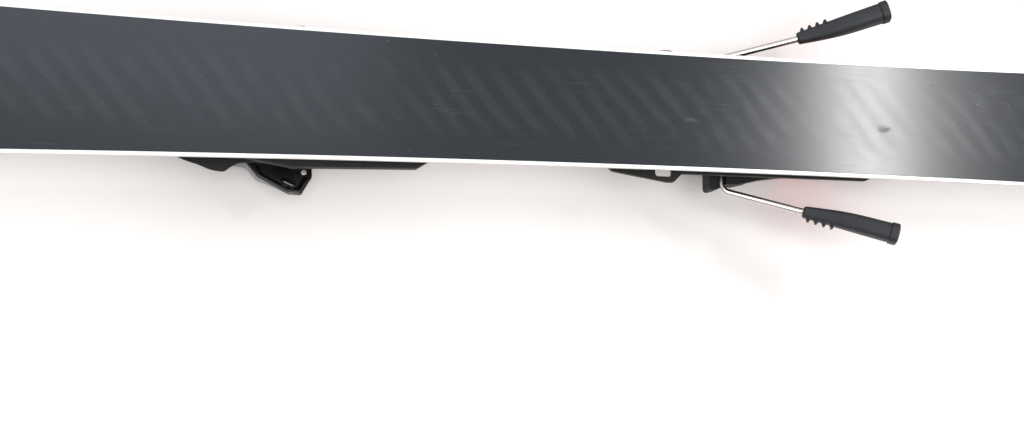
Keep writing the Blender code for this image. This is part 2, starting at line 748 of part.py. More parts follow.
def toe_wing(side_name, sign):
    """A wing on its pin, with its hollow underside, its low-friction pad and the pad's screw."""
    x, y = WING_PIVOT[0], sign * WING_PIVOT[1]
    pivot = empty(f"{side_name}_wing_axis", (x, y, 0), SKI_FRAME)
    name = f"toe_wing_{side_name}"
    body = slab_mesh(name, wing_plan(sign, WING_OUTLINE), WING_BOTTOM, WING_TOP)
    made = add(name, body, "gloss_black", pivot)
    cut(made, rod_mesh("pin_hole", (x, y, PIN_LOW), (x, y, PIN_HIGH), WING_PIN_RADIUS + GAP, 16))
    floor = WING_BOTTOM + 0.9 * MM
    cut(made, slab_mesh("hollow", wing_plan(sign, WING_HOLLOW), WING_BOTTOM - MM, floor))
    slot_start, slot_end = [Vector((*place, 0)) for place in wing_plan(sign, WING_MOULDING_SLOT)]
    across = Vector((0, 0, 1)).cross((slot_end - slot_start).normalized()) * 1.1 * MM
    corners = [slot_start - across, slot_end - across, slot_end + across, slot_start + across]
    cut(made, slab_mesh("moulding_slot", [(p.x, p.y, MM) for p in corners], WING_BOTTOM - MM, floor + 4 * MM))
    screw_at = wing_plan(sign, [WING_SCREW])[0]
    cut(made, rod_mesh("screw_hole", (*screw_at, floor - MM), (*screw_at, floor + 6 * MM), MM + GAP, 12))
    head = add(f"wing_screw_{side_name}",
               rod_mesh("head", (*screw_at, floor - 1.4 * MM), (*screw_at, floor - GAP), 1.7 * MM, 16),
               "zinc", pivot)
    join(head, rod_mesh("shank", (*screw_at, floor - MM), (*screw_at, floor + 5.5 * MM), MM, 12))
    pad = slab_mesh("pad", wing_plan(sign, WING_PAD), WING_BOTTOM + 4 * MM, WING_TOP - 5 * MM)
    smooth(add(f"wing_pad_{side_name}", pad, "white_plastic", pivot))
    pin = rod_mesh("pin", (x, y, PIN_LOW), (x, y, PIN_HIGH), WING_PIN_RADIUS, 16)
    smooth(add(f"toe_wing_pin_{side_name}", pin, "steel"))
    smooth(head)
    return smooth(soften(made, 0.5 * MM, 1))


def toe_rod():
    """The rod that the wings pull back through its yoke, with the spring round it and the nut ahead."""
    axis = TOE_AXIS_HEIGHT
    slide = empty("toe_rod_axis", (YOKE_FRONT, 0, axis), SKI_FRAME)
    corners = (-7, -5), (7, -5), (7, 9), (-7, 9)
    plan = [(y * MM, axis + z * MM, 2 * MM) for y, z in corners]
    yoke = slab_mesh("toe_rod", plan, YOKE_FRONT, YOKE_FRONT + 3 * MM, "YZ")
    made = add("toe_rod", yoke, "steel", slide)
    join(made, rod_mesh("rod", (NUT_BACK + GAP, 0, axis), (YOKE_FRONT + MM, 0, axis), TOE_ROD_RADIUS, 16))
    smooth(made)
    spring_start = NUT_BACK + SPRING_WIRE + 0.4 * MM
    spring_length = from_toe(-42.4) - spring_start
    coil = coil_mesh("toe_spring", Vector((spring_start, 0, axis)), Vector((1, 0, 0)), Vector((0, 1, 0)),
                     SPRING_RADIUS, SPRING_WIRE, spring_length, 5)
    smooth(add("toe_spring", coil, "steel"))
    turn = empty("toe_screw_axis", (NUT_BACK, 0, axis), SKI_FRAME)
    barrel = rod_mesh("nut", (NUT_BACK, 0, axis), (NUT_FRONT, 0, axis), TOE_BORE_RADIUS - GAP)
    nut = add("toe_release_screw", barrel, "zinc", turn)
    blade = (axis - 0.9 * MM, axis + 0.9 * MM)
    cut(nut, box_mesh("slot", (NUT_FRONT - 2 * MM, NUT_FRONT + 2 * MM), (-7 * MM, 7 * MM), blade))
    smooth(nut)
    return made


def glide_pieces():
    """The base with its raised ends, and the plate that slides sideways between them."""
    start, end = GLIDE_X
    low = TOE_PLATE_TOP + GAP
    floor = STAND_HEIGHT - 5 * MM
    rail = STAND_HEIGHT - 2 * MM
    wall = 3.6 * MM
    outline = [(start, low), (end, low), (end, rail, MM), (end - wall, rail, 0.5 * MM), (end - wall, floor),
               (start + wall, floor), (start + wall, rail, 0.5 * MM), (start, rail, MM)]
    base = add("glide_base", slab_mesh("glide_base", outline, -32 * MM, 32 * MM, "XZ"), "black_plastic")
    smooth(soften(base, 0.4 * MM, 1))
    slide = empty("glide_axis", ((start + end) / 2, 0, floor), SKI_FRAME)
    plate_outline = []
    for x, y in ((start + wall + GAP, -24 * MM), (end - wall - GAP, -24 * MM),
                 (end - wall - GAP, 24 * MM), (start + wall + GAP, 24 * MM)):
        plate_outline.append((x, y, 3 * MM))
    plate = add("glide_plate", slab_mesh("glide_plate", plate_outline, floor + GAP, STAND_HEIGHT),
                "white_plastic", slide)
    for k in range(5):
        x = start + wall + 6 * MM + k * 6 * MM
        cut(plate, box_mesh(f"groove_{k}", (x, x + 1.4 * MM), (-20 * MM, 20 * MM),
                            (STAND_HEIGHT - 0.8 * MM, STAND_HEIGHT + MM)))
    return smooth(plate)


# Heel piece

RAIL_TOP = PLATE_BOTTOM + RAIL_HEIGHT
RAIL_INSIDE = PLATE_BOTTOM + RAIL_FLOOR


def heel_rail():
    """A channel with lips over the slider's tongue, on a foot plate with an ear each side at its front."""
    half = RAIL_HALF_WIDTH
    start, end = RAIL_START, RAIL_END
    ear = 38.6 * MM
    right = [(start, 31 * MM, 2 * MM), (start + 3 * MM, half, 2 * MM), (start + 35 * MM, ear, 2 * MM),
             (start + 39 * MM, ear, 2 * MM), (start + 44 * MM, half, 2 * MM), (end - 6 * MM, half, 5 * MM),
             (end, 24 * MM, 4 * MM)]
    outline = [*right, *[(x, -y, r) for x, y, r in reversed(right)]]
    foot_top = PLATE_BOTTOM + RAIL_FLOOR
    made = add("heel_rail", slab_mesh("heel_rail", outline, PLATE_BOTTOM, foot_top), "grey_plastic")
    for sign in (1, -1):
        section = [(28 * MM, foot_top - MM), (28 * MM, RAIL_TOP, MM), (RAIL_MOUTH, RAIL_TOP),
                   (RAIL_MOUTH, RAIL_TOP - RAIL_LIP), (RAIL_CHANNEL, RAIL_TOP - RAIL_LIP),
                   (RAIL_CHANNEL, foot_top - MM)]
        outline = [(sign * p[0], *p[1:]) for p in section]
        join(made, slab_mesh(f"lip_{sign}", outline, start + 8 * MM, end - 3 * MM, "YZ"))
        eye = [(start + 28 * MM, sign * 35.5 * MM, 1.8 * MM), (start + 28 * MM, sign * 30.5 * MM, 1.8 * MM),
               (start + 38 * MM, sign * 30.5 * MM, 1.8 * MM), (start + 38 * MM, sign * 35.5 * MM, 1.8 * MM)]
        cut(made, slab_mesh(f"eye_{sign}", eye, PLATE_BOTTOM - MM, foot_top + MM))
    head = 1.9 * MM
    for k, (x, y) in enumerate(HEEL_SCREWS, 1):
        cut(made, screw_hole(x, y, MID_THICKNESS, RAIL_TOP + MM))
        cut(made, screw_hole(x, y, foot_top - head, foot_top + MM, SCREW_HEAD_RADIUS + GAP))
        screw(f"heel_screw_{k}", x, y, foot_top - GAP, head - 2 * GAP)
    for k in range(7):
        x = start + 66 * MM + k * 10 * MM
        through = (PLATE_BOTTOM - MM, foot_top + MM)
        cut(made, box_mesh(f"rack_{k}", (x, x + 4 * MM), (-3.5 * MM, 3.5 * MM), through))
    return smooth(made)


def heel_slider(carrier):
    """The carriage: tongue under the rail's lips, deck above them, and the tower that holds the heel pin."""
    play = 0.35 * MM
    start, end = SLIDER_START, SLIDER_END
    tongue = RAIL_CHANNEL - play
    neck = RAIL_MOUTH - play
    low = RAIL_INSIDE + play
    section = [
        (tongue, low), (tongue, RAIL_TOP - RAIL_LIP - play), (neck, RAIL_TOP - RAIL_LIP - play),
        (neck, RAIL_TOP + play), (DECK_HALF_WIDTH, RAIL_TOP + 1.5 * play), (DECK_HALF_WIDTH, DECK_TOP, MM),
    ]
    outline = [*section, *[(-p[0], *p[1:]) for p in reversed(section)]]
    made = add("heel_slider", slab_mesh("heel_slider", outline, start, end, "YZ"), "grey_plastic", carrier)
    x, z = HEEL_PIVOT
    rear = x + TOWER_ROUND / 2
    around = [(x - TOWER_ROUND, DECK_TOP - MM), (rear, DECK_TOP - MM)]
    for k in range(-4, 13):
        angle = math.pi * k / 12
        around.append((x + TOWER_ROUND * math.cos(angle), z + TOWER_ROUND * math.sin(angle)))
    join(made, slab_mesh("tower", around, -TOWER_HALF_WIDTH, TOWER_HALF_WIDTH, "XZ"))
    cut(made, rod_mesh("pin_hole", (x, -20 * MM, z), (x, 20 * MM, z), HEEL_PIN_RADIUS + GAP, 20))
    latch_half = 11 * MM + GAP
    lx, lz = LATCH_AXIS
    cut(made, box_mesh("latch_space", (lx - 4.8 * MM, end + MM), (-latch_half, latch_half),
                       (PLATE_BOTTOM, DECK_TOP + MM)))
    cut(made, rod_mesh("latch_pin_hole", (lx, -14.5 * MM, lz), (lx, 14.5 * MM, lz), 1.1 * MM, 12))
    smooth(made)
    pin = rod_mesh("pin", (x, -HEEL_PIN_REACH, z), (x, HEEL_PIN_REACH, z), HEEL_PIN_RADIUS, 20)
    smooth(add("heel_pivot_pin", pin, "steel", carrier))
    latch_pin = rod_mesh("pin", (lx, -14.2 * MM, lz), (lx, 14.2 * MM, lz), 0.8 * MM, 12)
    smooth(add("heel_latch_pin", latch_pin, "steel", carrier))
    return made


def heel_latch(carrier):
    """The tongue that locks the slider: a flat plate on its own pin, with a tooth over the rack."""
    x, z = LATCH_AXIS
    turn = empty("heel_latch_axis", (x, 0, z), carrier)
    low = z - 1.3 * MM
    high = z + 1.3 * MM
    tooth = PLATE_BOTTOM + RAIL_FLOOR + 0.9 * MM
    front, back = x - 4 * MM, x + 17 * MM
    profile = [(front, low), (x + 7 * MM, low), (x + 7 * MM, tooth), (x + 12 * MM, tooth),
               (x + 12 * MM, low + 0.1 * MM), (back, low + 0.2 * MM), (back, high), (front, high)]
    made = add("heel_latch", slab_mesh("heel_latch", profile, -11 * MM, 11 * MM, "XZ"), "steel", turn)
    cut(made, rod_mesh("pin_hole", (x, -20 * MM, z), (x, 20 * MM, z), 0.95 * MM, 12))
    return smooth(made)


def along_heel_spring(distance, drop=0.0):
    """A point on the heel spring's line, which runs up and back from the heel pin."""
    x, z = HEEL_PIVOT
    return Vector((
        x + distance * math.cos(HEEL_SPRING_ANGLE) + drop * math.sin(HEEL_SPRING_ANGLE), 0,
        z + distance * math.sin(HEEL_SPRING_ANGLE) - drop * math.cos(HEEL_SPRING_ANGLE),
    ))


def lean_in(made, start, end):
    """Cuts both sides of a heel piece to lean in as they rise, from the full width at the tread."""
    half = HOUSING_HALF_WIDTH
    low = STAND_HEIGHT - 4 * MM
    high = REST_HEIGHT + 5 * MM
    inner = half - HOUSING_LEAN * (high - low)
    outer = half + 9 * MM
    for sign in (1, -1):
        wedge = [(sign * half, low), (sign * outer, low), (sign * outer, high), (sign * inner, high)]
        cut(made, slab_mesh(f"side_{sign}", wedge, start, end, "YZ"))


def heel_housing(swing):
    """The moulded heel body: hood over the cup, slot for the tower, bore for the spring, slot for the lever."""
    x, z = HEEL_PIVOT
    front = CUP_BACK + GAP
    sole = STAND_HEIGHT - 4 * MM
    top = REST_HEIGHT
    hood = top - HOOD_THICKNESS
    profile = [
        (front, sole), (from_heel(17), sole, 3 * MM), (from_heel(27), sole + 4 * MM, 8 * MM),
        (from_heel(49), sole + 10.5 * MM, 3 * MM), (from_heel(53), sole + 15 * MM, 3 * MM),
        (from_heel(53), top - 15 * MM, 3 * MM), (from_heel(45), top - 12 * MM, 4 * MM),
        (from_heel(17), top - 8.5 * MM, 2 * MM), (from_heel(15), top, 2 * MM), (from_heel(-7), top, 2 * MM),
        (from_heel(-7), hood), (front, hood),
    ]
    half = HOUSING_HALF_WIDTH
    made = add("heel_housing", slab_mesh("heel_housing", profile, -half, half, "XZ"), "red_plastic", swing)
    lean_in(made, from_heel(-17), from_heel(63))
    slot = [(-15, -30), (-15, 5), (-5, 9), (5, 9.5), (9, 6), (19, -9), (21, -30)]
    width = TOWER_HALF_WIDTH + 0.5 * MM
    cut(made, slab_mesh("tower_slot", [(x + a * MM, z + b * MM) for a, b in slot], -width, width, "XZ"))
    reach = HEEL_PIN_REACH + GAP
    cut(made, rod_mesh("pin_hole", (x, -reach, z), (x, reach, z), HEEL_PIN_RADIUS + GAP, 20))
    cut(made, rod_mesh("spring_bore", along_heel_spring(4 * MM), along_heel_spring(60 * MM), HEEL_BORE_RADIUS))
    px, pz = LEVER_PIVOT
    hub_space = LEVER_HUB_HALF_WIDTH + 0.5 * MM
    cut(made, box_mesh("lever_slot", (px - 5.5 * MM, px + 6 * MM), (-hub_space, hub_space),
                       (pz - 4.5 * MM, pz + 9 * MM)))
    reach = LEVER_PIN_REACH + GAP
    cut(made, rod_mesh("lever_pin_hole", (px, -reach, pz), (px, reach, pz), LEVER_PIN_RADIUS + GAP, 16))
    near, far = from_heel(31), from_heel(63)
    for sign in (1, -1):
        flank = [(near, sign * (half + MM)), (far, sign * (half + MM)), (far, sign * (half - 9 * MM))]
        cut(made, slab_mesh(f"flank_{sign}", flank, DECK_TOP, REST_HEIGHT + MM))
    scale_window("heel_scale_window", made, from_heel(-3), from_heel(9), swing)
    return smooth(made)


def heel_cup(swing):
    """The cup that holds the boot's heel: tread below, lip above, and a wall hollowed to the heel's curve."""
    low = STAND_HEIGHT - 4.5 * MM
    tread = STAND_HEIGHT - GAP
    lip = STAND_HEIGHT + HEEL_LUG + 0.8 * MM
    profile = [
        (from_heel(-15), low, MM), (CUP_BACK, low), (CUP_BACK, CUP_TOP - 5 * MM),
        (from_heel(3), CUP_TOP, 2 * MM), (from_heel(-11), CUP_TOP, 3 * MM),
        (from_heel(-15), CUP_TOP - 3 * MM, 2 * MM),
    ]
    half = HOUSING_HALF_WIDTH
    made = add("heel_cup", slab_mesh("heel_cup", profile, -half, half, "XZ"), "black_plastic", swing)
    lean_in(made, from_heel(-22), from_heel(13))
    heel_round = 36 * MM
    centre = BOOT_HEEL + GAP - heel_round
    cut(made, rod_mesh("heel_space", (centre, 0, tread), (centre, 0, lip), heel_round, 48))
    front = from_heel(-22)
    for sign in (1, -1):
        corner = [(front, sign * 21 * MM), (front, sign * (half + MM)), (from_heel(-6), sign * (half + MM))]
        cut(made, slab_mesh(f"corner_{sign}", corner, DECK_TOP, REST_HEIGHT + MM))
    return smooth(soften(made, 0.5 * MM, 1))


def heel_spring_pieces(swing):
    """Plunger, spring and release screw in the heel's bore, in line with the heel pin."""
    big = HEEL_BORE_RADIUS - GAP
    piston = rod_mesh("piston", along_heel_spring(14 * MM), along_heel_spring(20 * MM), big)
    plunger = add("heel_plunger", piston, "zinc", swing)
    nose_tip = along_heel_spring(TOWER_ROUND + 0.4 * MM)
    join(plunger, rod_mesh("nose", nose_tip, along_heel_spring(15 * MM), 3 * MM, 16))
    smooth(plunger)
    along = (along_heel_spring(1) - along_heel_spring(0)).normalized()
    start = 21.4 * MM
    end = 32 * MM
    coil = coil_mesh("heel_spring", along_heel_spring(start), along, Vector((0, 1, 0)),
                     SPRING_RADIUS, SPRING_WIRE, end - start, 4)
    smooth(add("heel_spring", coil, "steel", swing))
    head_at = along_heel_spring(33.3 * MM)
    turn = empty("heel_screw_axis", head_at, swing)
    barrel = rod_mesh("screw", head_at, along_heel_spring(38.5 * MM), big)
    head = add("heel_release_screw", barrel, "zinc", turn)
    corners = [(37.2, 0.9), (40, 0.9), (40, -0.9), (37.2, -0.9)]
    slot = [along_heel_spring(a * MM, b * MM) for a, b in corners]
    cut(head, slab_mesh("slot", [(p.x, p.z) for p in slot], -9 * MM, 9 * MM, "XZ"))
    return smooth(head)


def heel_lever(swing):
    """The pole lever over the back of the heel, on its pin, with a dimple for the pole's tip."""
    x, z = LEVER_PIVOT
    turn = empty("heel_lever_axis", (x, 0, z), swing)
    top = REST_HEIGHT
    upper = ((22.5, 2.2, 1), (28, 1.2, 5), (43, 4, 10), (59, 10, 8), (71, 14, 5), (75, 11.5, 1), (77, 13.5, 1))
    lower = ((74.5, 19.5, 1.5), (63, 19, 6), (49, 12.5, 8), (33, 7.5, 5), (22.5, 5.7, 1))
    profile = [(from_heel(a), top - drop * MM, r * MM) for a, drop, r in upper + lower]
    half = LEVER_HALF_WIDTH
    made = add("heel_lever", slab_mesh("heel_lever", profile, -half, half, "XZ"), "black_plastic", turn)
    hub_radius = 4 * MM
    hub = [(x - hub_radius, top - 4 * MM), (x - hub_radius, z)]
    for k in range(1, 8):
        angle = math.pi * (1 + k / 8)
        hub.append((x + hub_radius * math.cos(angle), z + hub_radius * math.sin(angle)))
    hub += [(x + hub_radius, z), (x + hub_radius, top - 4 * MM)]
    join(made, slab_mesh("hub", hub, -LEVER_HUB_HALF_WIDTH, LEVER_HUB_HALF_WIDTH, "XZ"))
    cut(made, rod_mesh("pin_hole", (x, -half - MM, z), (x, half + MM, z), LEVER_PIN_RADIUS + GAP, 16))
    front = from_heel(18)
    for sign in (1, -1):
        edge = [(front, sign * (half - 3 * MM)), (front, sign * (half + 1.5 * MM)),
                (from_heel(57), sign * (half + 1.5 * MM))]
        cut(made, slab_mesh(f"edge_{sign}", edge, STAND_HEIGHT, top + MM))
    dimple = (from_heel(65), 0, top - 15 * MM), (from_heel(68), 0, top)
    cut(made, rod_mesh("pole_dimple", *dimple, 6 * MM, 20))
    pin = rod_mesh("pin", (x, -LEVER_PIN_REACH, z), (x, LEVER_PIN_REACH, z), LEVER_PIN_RADIUS, 16)
    smooth(add("heel_lever_pin", pin, "steel", swing))
    return smooth(soften(made, 0.5 * MM, 1))


# Brake


def brake_block(carrier):
    """The block that carries the brake wire: a flared cheek each side, joined behind by a low bridge."""
    low = DECK_TOP + GAP
    high = STAND_HEIGHT
    x, z = BRAKE_PIVOT
    front = x - 8 * MM
    half = [(front, ARM_OUT + 0.9 * MM, 2 * MM), (x + 24 * MM, ARM_OUT - 7 * MM, 6 * MM),
            (x + 42 * MM, ARM_OUT - 9.6 * MM, 3 * MM)]
    outline = [*half, *[(px, -py, r) for px, py, r in reversed(half)]]
    made = add("brake_block", slab_mesh("brake_block", outline, low, high), "black_plastic", carrier)
    inside = PEDAL_HALF_WIDTH + MM
    outside = ARM_OUT + 10 * MM
    cut(made, box_mesh("pedal_space", (front - MM, x + 14 * MM), (-inside, inside), (low - MM, high + MM)))
    cut(made, box_mesh("bridge_step", (x + 17 * MM, x + 54 * MM), (-outside, outside),
                       (high - 5.4 * MM, high + MM)))
    groove = WIRE_RADIUS + 0.4 * MM
    cut(made, box_mesh("groove", (x - groove, x + groove), (-outside, outside), (low - MM, z)))
    cut(made, rod_mesh("groove_round", (x, -outside, z), (x, outside, z), groove, 20))
    for sign in (1, -1):
        edge = sorted((sign * (ARM_OUT - 3.4 * MM), sign * outside))
        cut(made, box_mesh(f"arm_space_{sign}", (x - groove, x + 20 * MM), edge, (low - MM, high + MM)))
    return smooth(made)


def brake_frame():
    """Unit vectors of the right grip: along it, outwards across it, and square to both."""
    along = (GRIP_TIP - GRIP_ROOT).normalized()
    outward = (Vector((0, 1, 0)) - along * along.y).normalized()
    return along, outward, along.cross(outward)


def fillet(points, radius, steps=4):
    """A path of straight runs with round bends of one radius."""
    made = [points[0]]
    for before, corner, after in zip(points, points[1:], points[2:]):
        back = (before - corner).normalized()
        on = (after - corner).normalized()
        half = back.angle(on) / 2
        reach = radius / math.tan(half)
        centre = corner + (back + on).normalized() * radius / math.sin(half)
        first = corner + back * reach - centre
        last = corner + on * reach - centre
        total = first.angle(last)
        for k in range(steps + 1):
            share = k / steps
            spun = (first * math.sin((1 - share) * total) + last * math.sin(share * total)) / math.sin(total)
            made.append(centre + spun)
    made.append(points[-1])
    return made


def brake_wire(swing):
    """One bent wire: arm, turn through the block, up to the pedal, across, and the same back."""
    along = brake_frame()[0]
    x, z = BRAKE_PIVOT
    rise = PEDAL_REACH * Vector((-math.cos(BRAKE_REST_ANGLE), 0, math.sin(BRAKE_REST_ANGLE)))
    inner = Vector((x, PEDAL_HALF_WIDTH - 5 * MM, z))
    start = GRIP_ROOT + along * (GRIP_BORE_DEPTH - GAP)
    right = [start, GRIP_ROOT - along * MM, Vector((x, ARM_OUT, z)), inner, inner + rise]
    left = [Vector((p.x, -p.y, p.z)) for p in reversed(right)]
    path = fillet([*right, *left], WIRE_BEND)
    return smooth(add("brake_wire", tube_mesh("brake_wire", path, WIRE_RADIUS), "steel", swing))


def brake_grip(side_name, sign, swing):
    """A moulded grip: straight outside with four teeth by its root, bellied inside, flared at its end cap."""
    along, outward, square = brake_frame()
    length = (GRIP_TIP - GRIP_ROOT).length
    teeth = [(4.2 + 4.7 * k) * MM for k in range(4)]
    marks = {0.0, 0.9 * MM, 2.4 * MM, 24 * MM, 30 * MM, 36 * MM, 42 * MM, 47 * MM, 50.2 * MM, 50.8 * MM,
             length - 1.4 * MM, length}
    for t in teeth:
        marks.update((t - 1.2 * MM, t - 0.1 * MM, t + 0.7 * MM, t + 1.1 * MM))
    rings = []
    for s in sorted(marks):
        share = s / length
        outer = (3.3 + 1.9 * share) * MM
        inner = (3.3 + 2.9 * math.sin(min(share / 0.62, 1) * math.pi / 2)) * MM
        tall = (3.8 + 2.9 * ease(share / 0.7)) * MM
        tooth = 1.9 * MM if any(-0.11 * MM <= s - t <= 0.71 * MM for t in teeth) else 0
        if s >= 50.8 * MM:
            outer += 0.5 * MM
            inner += 0.4 * MM
            tall += 0.5 * MM
        shrink = {0.0: 0.78}.get(s, 1.0)
        if s > length - 0.7 * MM:
            shrink = 0.82
        ring = []
        for k in range(12):
            angle = 2 * math.pi * (k + 0.5) / 12
            across = math.copysign(abs(math.cos(angle)) ** 0.6, math.cos(angle))
            up = math.copysign(abs(math.sin(angle)) ** 0.6, math.sin(angle))
            wide = (outer if across > 0 else inner) * shrink
            push = tooth if math.cos(angle) > 0.8 else 0
            point = GRIP_ROOT + along * s + outward * (across * wide + push) + square * (up * tall * shrink)
            ring.append((point.x, sign * point.y, point.z))
        rings.append(ring)
    name = f"brake_grip_{side_name}"
    made = add(name, loft_mesh(name, rings), "black_plastic", swing)
    ends = [GRIP_ROOT - along * 2 * MM, GRIP_ROOT + along * GRIP_BORE_DEPTH]
    low, high = [Vector((p.x, sign * p.y, p.z)) for p in ends]
    cut(made, rod_mesh("wire_bore", low, high, WIRE_RADIUS + GAP, 12))
    return smooth(made)


def brake_pedal(swing):
    """The pedal that the boot presses, drawn flat about the brake's axis and then turned up to rest."""
    low = WIRE_RADIUS + GAP
    high = STAND_HEIGHT - GAP - BRAKE_PIVOT[1]
    front, back = -44 * MM, -8 * MM
    profile = [(front, -1.5 * MM, 1.5 * MM), (front + 2.5 * MM, -1.5 * MM, MM), (front + 3 * MM, low),
               (back, low, MM), (back, high - 2 * MM, 3 * MM), (back - 6 * MM, high, 4 * MM),
               (front + 4 * MM, high, 3 * MM), (front, high - 3 * MM, 3 * MM)]
    mesh = slab_mesh("brake_pedal", profile, -PEDAL_HALF_WIDTH, PEDAL_HALF_WIDTH, "XZ")
    made = add("brake_pedal", mesh, "grey_plastic", swing)
    made.location = (0, 0, 0)
    made.rotation_euler = (0, BRAKE_REST_ANGLE, 0)
    for k in range(4):
        x = -37 * MM + k * 6 * MM
        across = PEDAL_HALF_WIDTH - 5 * MM
        cutter = box_mesh("groove", (x, x + 1.6 * MM), (-across, across), (high - 0.8 * MM, high + MM))
        groove = add(f"pedal_groove_{k}", cutter, parent=swing)
        groove.location = (0, 0, 0)
        groove.rotation_euler = (0, BRAKE_REST_ANGLE, 0)
        boolean(made, groove)
    return smooth(soften(made, 0.4 * MM, 1))


def brake_spring(carrier):
    """A wound return spring behind the brake's axis, on the deck."""
    length = 15.4 * MM
    radius = 3.7 * MM
    wire = 0.8 * MM
    start = Vector((BRAKE_PIVOT[0] + 8 * MM, -length / 2, DECK_TOP + GAP + radius + wire))
    coil = coil_mesh("brake_spring", start, Vector((0, 1, 0)), Vector((1, 0, 0)), radius, wire, length, 5)
    return smooth(add("brake_spring", coil, "steel", carrier))


ski()
toe_plate()
toe_housing()
toe_wing("left", -1)
toe_wing("right", 1)
toe_rod()
glide_pieces()
heel_rail()
CARRIER = empty("heel_slide_axis", (SLIDER_START, 0, RAIL_TOP), SKI_FRAME)
heel_slider(CARRIER)
heel_latch(CARRIER)
HEEL_SWING = empty("heel_pivot_axis", (HEEL_PIVOT[0], 0, HEEL_PIVOT[1]), CARRIER)
heel_housing(HEEL_SWING)
heel_cup(HEEL_SWING)
heel_spring_pieces(HEEL_SWING)
heel_lever(HEEL_SWING)
BRAKE_SWING = empty("brake_axis", (BRAKE_PIVOT[0], 0, BRAKE_PIVOT[1]), CARRIER)
brake_block(CARRIER)
brake_wire(BRAKE_SWING)
brake_pedal(BRAKE_SWING)
brake_grip("left", -1, BRAKE_SWING)
brake_grip("right", 1, BRAKE_SWING)
brake_spring(CARRIER)
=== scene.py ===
# %% [markdown]
# # A carving ski, seen from its running base
#
# The ski lies upside down on the tops of its toe and heel pieces, so its dark base faces up.
# This script dresses a finished mechanical model: it never moves a part, it only gives each one
# a surface that looks like the real one. First come the frame and a few measures of the ski.

import math

import bmesh
import bpy
import numpy as np
from mathutils import Matrix, Vector


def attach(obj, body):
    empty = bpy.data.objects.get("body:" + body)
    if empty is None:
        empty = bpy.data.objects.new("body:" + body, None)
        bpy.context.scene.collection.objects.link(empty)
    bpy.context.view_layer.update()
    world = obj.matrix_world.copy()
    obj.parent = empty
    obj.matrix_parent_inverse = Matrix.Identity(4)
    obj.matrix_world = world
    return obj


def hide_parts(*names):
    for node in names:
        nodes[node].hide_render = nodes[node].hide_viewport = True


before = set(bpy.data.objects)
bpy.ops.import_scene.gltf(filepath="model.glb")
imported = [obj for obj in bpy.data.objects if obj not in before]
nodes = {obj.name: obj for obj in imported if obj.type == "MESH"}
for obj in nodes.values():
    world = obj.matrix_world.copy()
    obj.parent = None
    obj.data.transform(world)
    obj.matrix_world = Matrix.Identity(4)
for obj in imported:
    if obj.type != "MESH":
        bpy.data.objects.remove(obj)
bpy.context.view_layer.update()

# %% [markdown]
# Lengths are in metres, or in millimetres where a comment or docstring says so. The ski is easiest
# to describe standing on snow, with z up from its base, as a ski maker draws it. `lie_down` turns
# such points over to how it lies here.

# %% Measures
MM = 0.001
REST_HEIGHT = 80 * MM
TIP_END, TAIL_END = -825 * MM, 825 * MM
TIP_JOINT, TAIL_JOINT = -783 * MM, 805 * MM
WAIST_X, WAIST_HALF = 192 * MM, 34 * MM
FRONT_SIDECUT, REAR_SIDECUT = 15.6, 11.5
NOSE_LENGTH, TAIL_ROUNDING = 125 * MM, 50 * MM
FLAT_START, FLAT_STOP = -150 * MM, 310 * MM
FRONT_CONTACT, REAR_CONTACT = -650 * MM, 740 * MM
TIP_RADIUS, TAIL_RADIUS = 306 * MM, 451 * MM
NOSE_POWER, NOSE_ROOT, NOSE_CLOSED = 2.6, 2.2, 0.9996
TAIL_NARROWING = 0.35
CAMBER = 4 * MM
MID_THICKNESS, END_THICKNESS = 13 * MM, 5.6 * MM
BOND = 0.2 * MM
BASE_THICKNESS, EDGE_WIDTH, EDGE_HEIGHT = 1.4 * MM, 2.1 * MM, 2.0 * MM
LAMINATE, TOPSHEET, SIDEWALL_WIDTH = 0.7 * MM, 0.6 * MM, 7 * MM
SIDEWALL_ANGLE = math.radians(10)
HEEL_PIVOT = (252 * MM, 48 * MM)
BRAKE_PIVOT = (186 * MM, 29 * MM)
BRAKE_REST = math.radians(26)
SIDES = (("left", -1), ("right", 1))


def lie_down(points):
    """Points of the standing ski, turned half round its length and lifted to the height it lies at."""
    points = np.asarray(points, float)
    return np.stack([points[..., 0], -points[..., 1], REST_HEIGHT - points[..., 2]], axis=-1)


# %% [markdown]
# Each new piece is a grid of points: a shape written as a function of two parameters, computed
# for all points at once. This helper turns such a grid into a mesh. If the surface is closed, the
# sign of its volume tells whether the faces point out, so they can be turned where they do not.

# %% Grids into meshes


def mesh_from_grid(name, grid, wrap=True, ends=True, sharp=40):
    """A mesh on rows of points; wrap joins each row's ends, and ends closes the first and last rows
    with a flat face each. Edges that turn by more than sharp degrees stay crisp."""
    rows, columns = grid.shape[:2]
    index = np.arange(rows * columns).reshape(rows, columns)
    if wrap:
        index = np.concatenate([index, index[:, :1]], axis=1)
    quads = np.stack([index[:-1, :-1], index[:-1, 1:], index[1:, 1:], index[1:, :-1]], axis=-1)
    quads = quads.reshape(-1, 4)
    points = grid.reshape(-1, 3)
    caps = [index[0, :columns][::-1], index[-1, :columns]] if ends else []
    faces = [face.tolist() for face in (*quads, *caps)]
    mesh = bpy.data.meshes.new(name)
    mesh.from_pydata(points.tolist(), [], faces)
    if wrap and ends:
        work = bmesh.new()
        work.from_mesh(mesh)
        if work.calc_volume(signed=True) < 0:
            mesh.clear_geometry()
            mesh.from_pydata(points.tolist(), [], [face[::-1] for face in faces])
        work.free()
    mesh.validate()
    mesh.shade_smooth()
    mesh.set_sharp_from_angle(angle=math.radians(sharp))
    return mesh


def add_object(name, data):
    """A new object in the scene."""
    made = bpy.data.objects.new(name, data)
    bpy.context.scene.collection.objects.link(made)
    return made


def put(name, mesh, body, stands_for):
    """A piece in the scene that moves with a body of the model and stands for some of its nodes."""
    piece = add_object(name, mesh)
    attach(piece, body)
    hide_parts(*stands_for)
    return piece


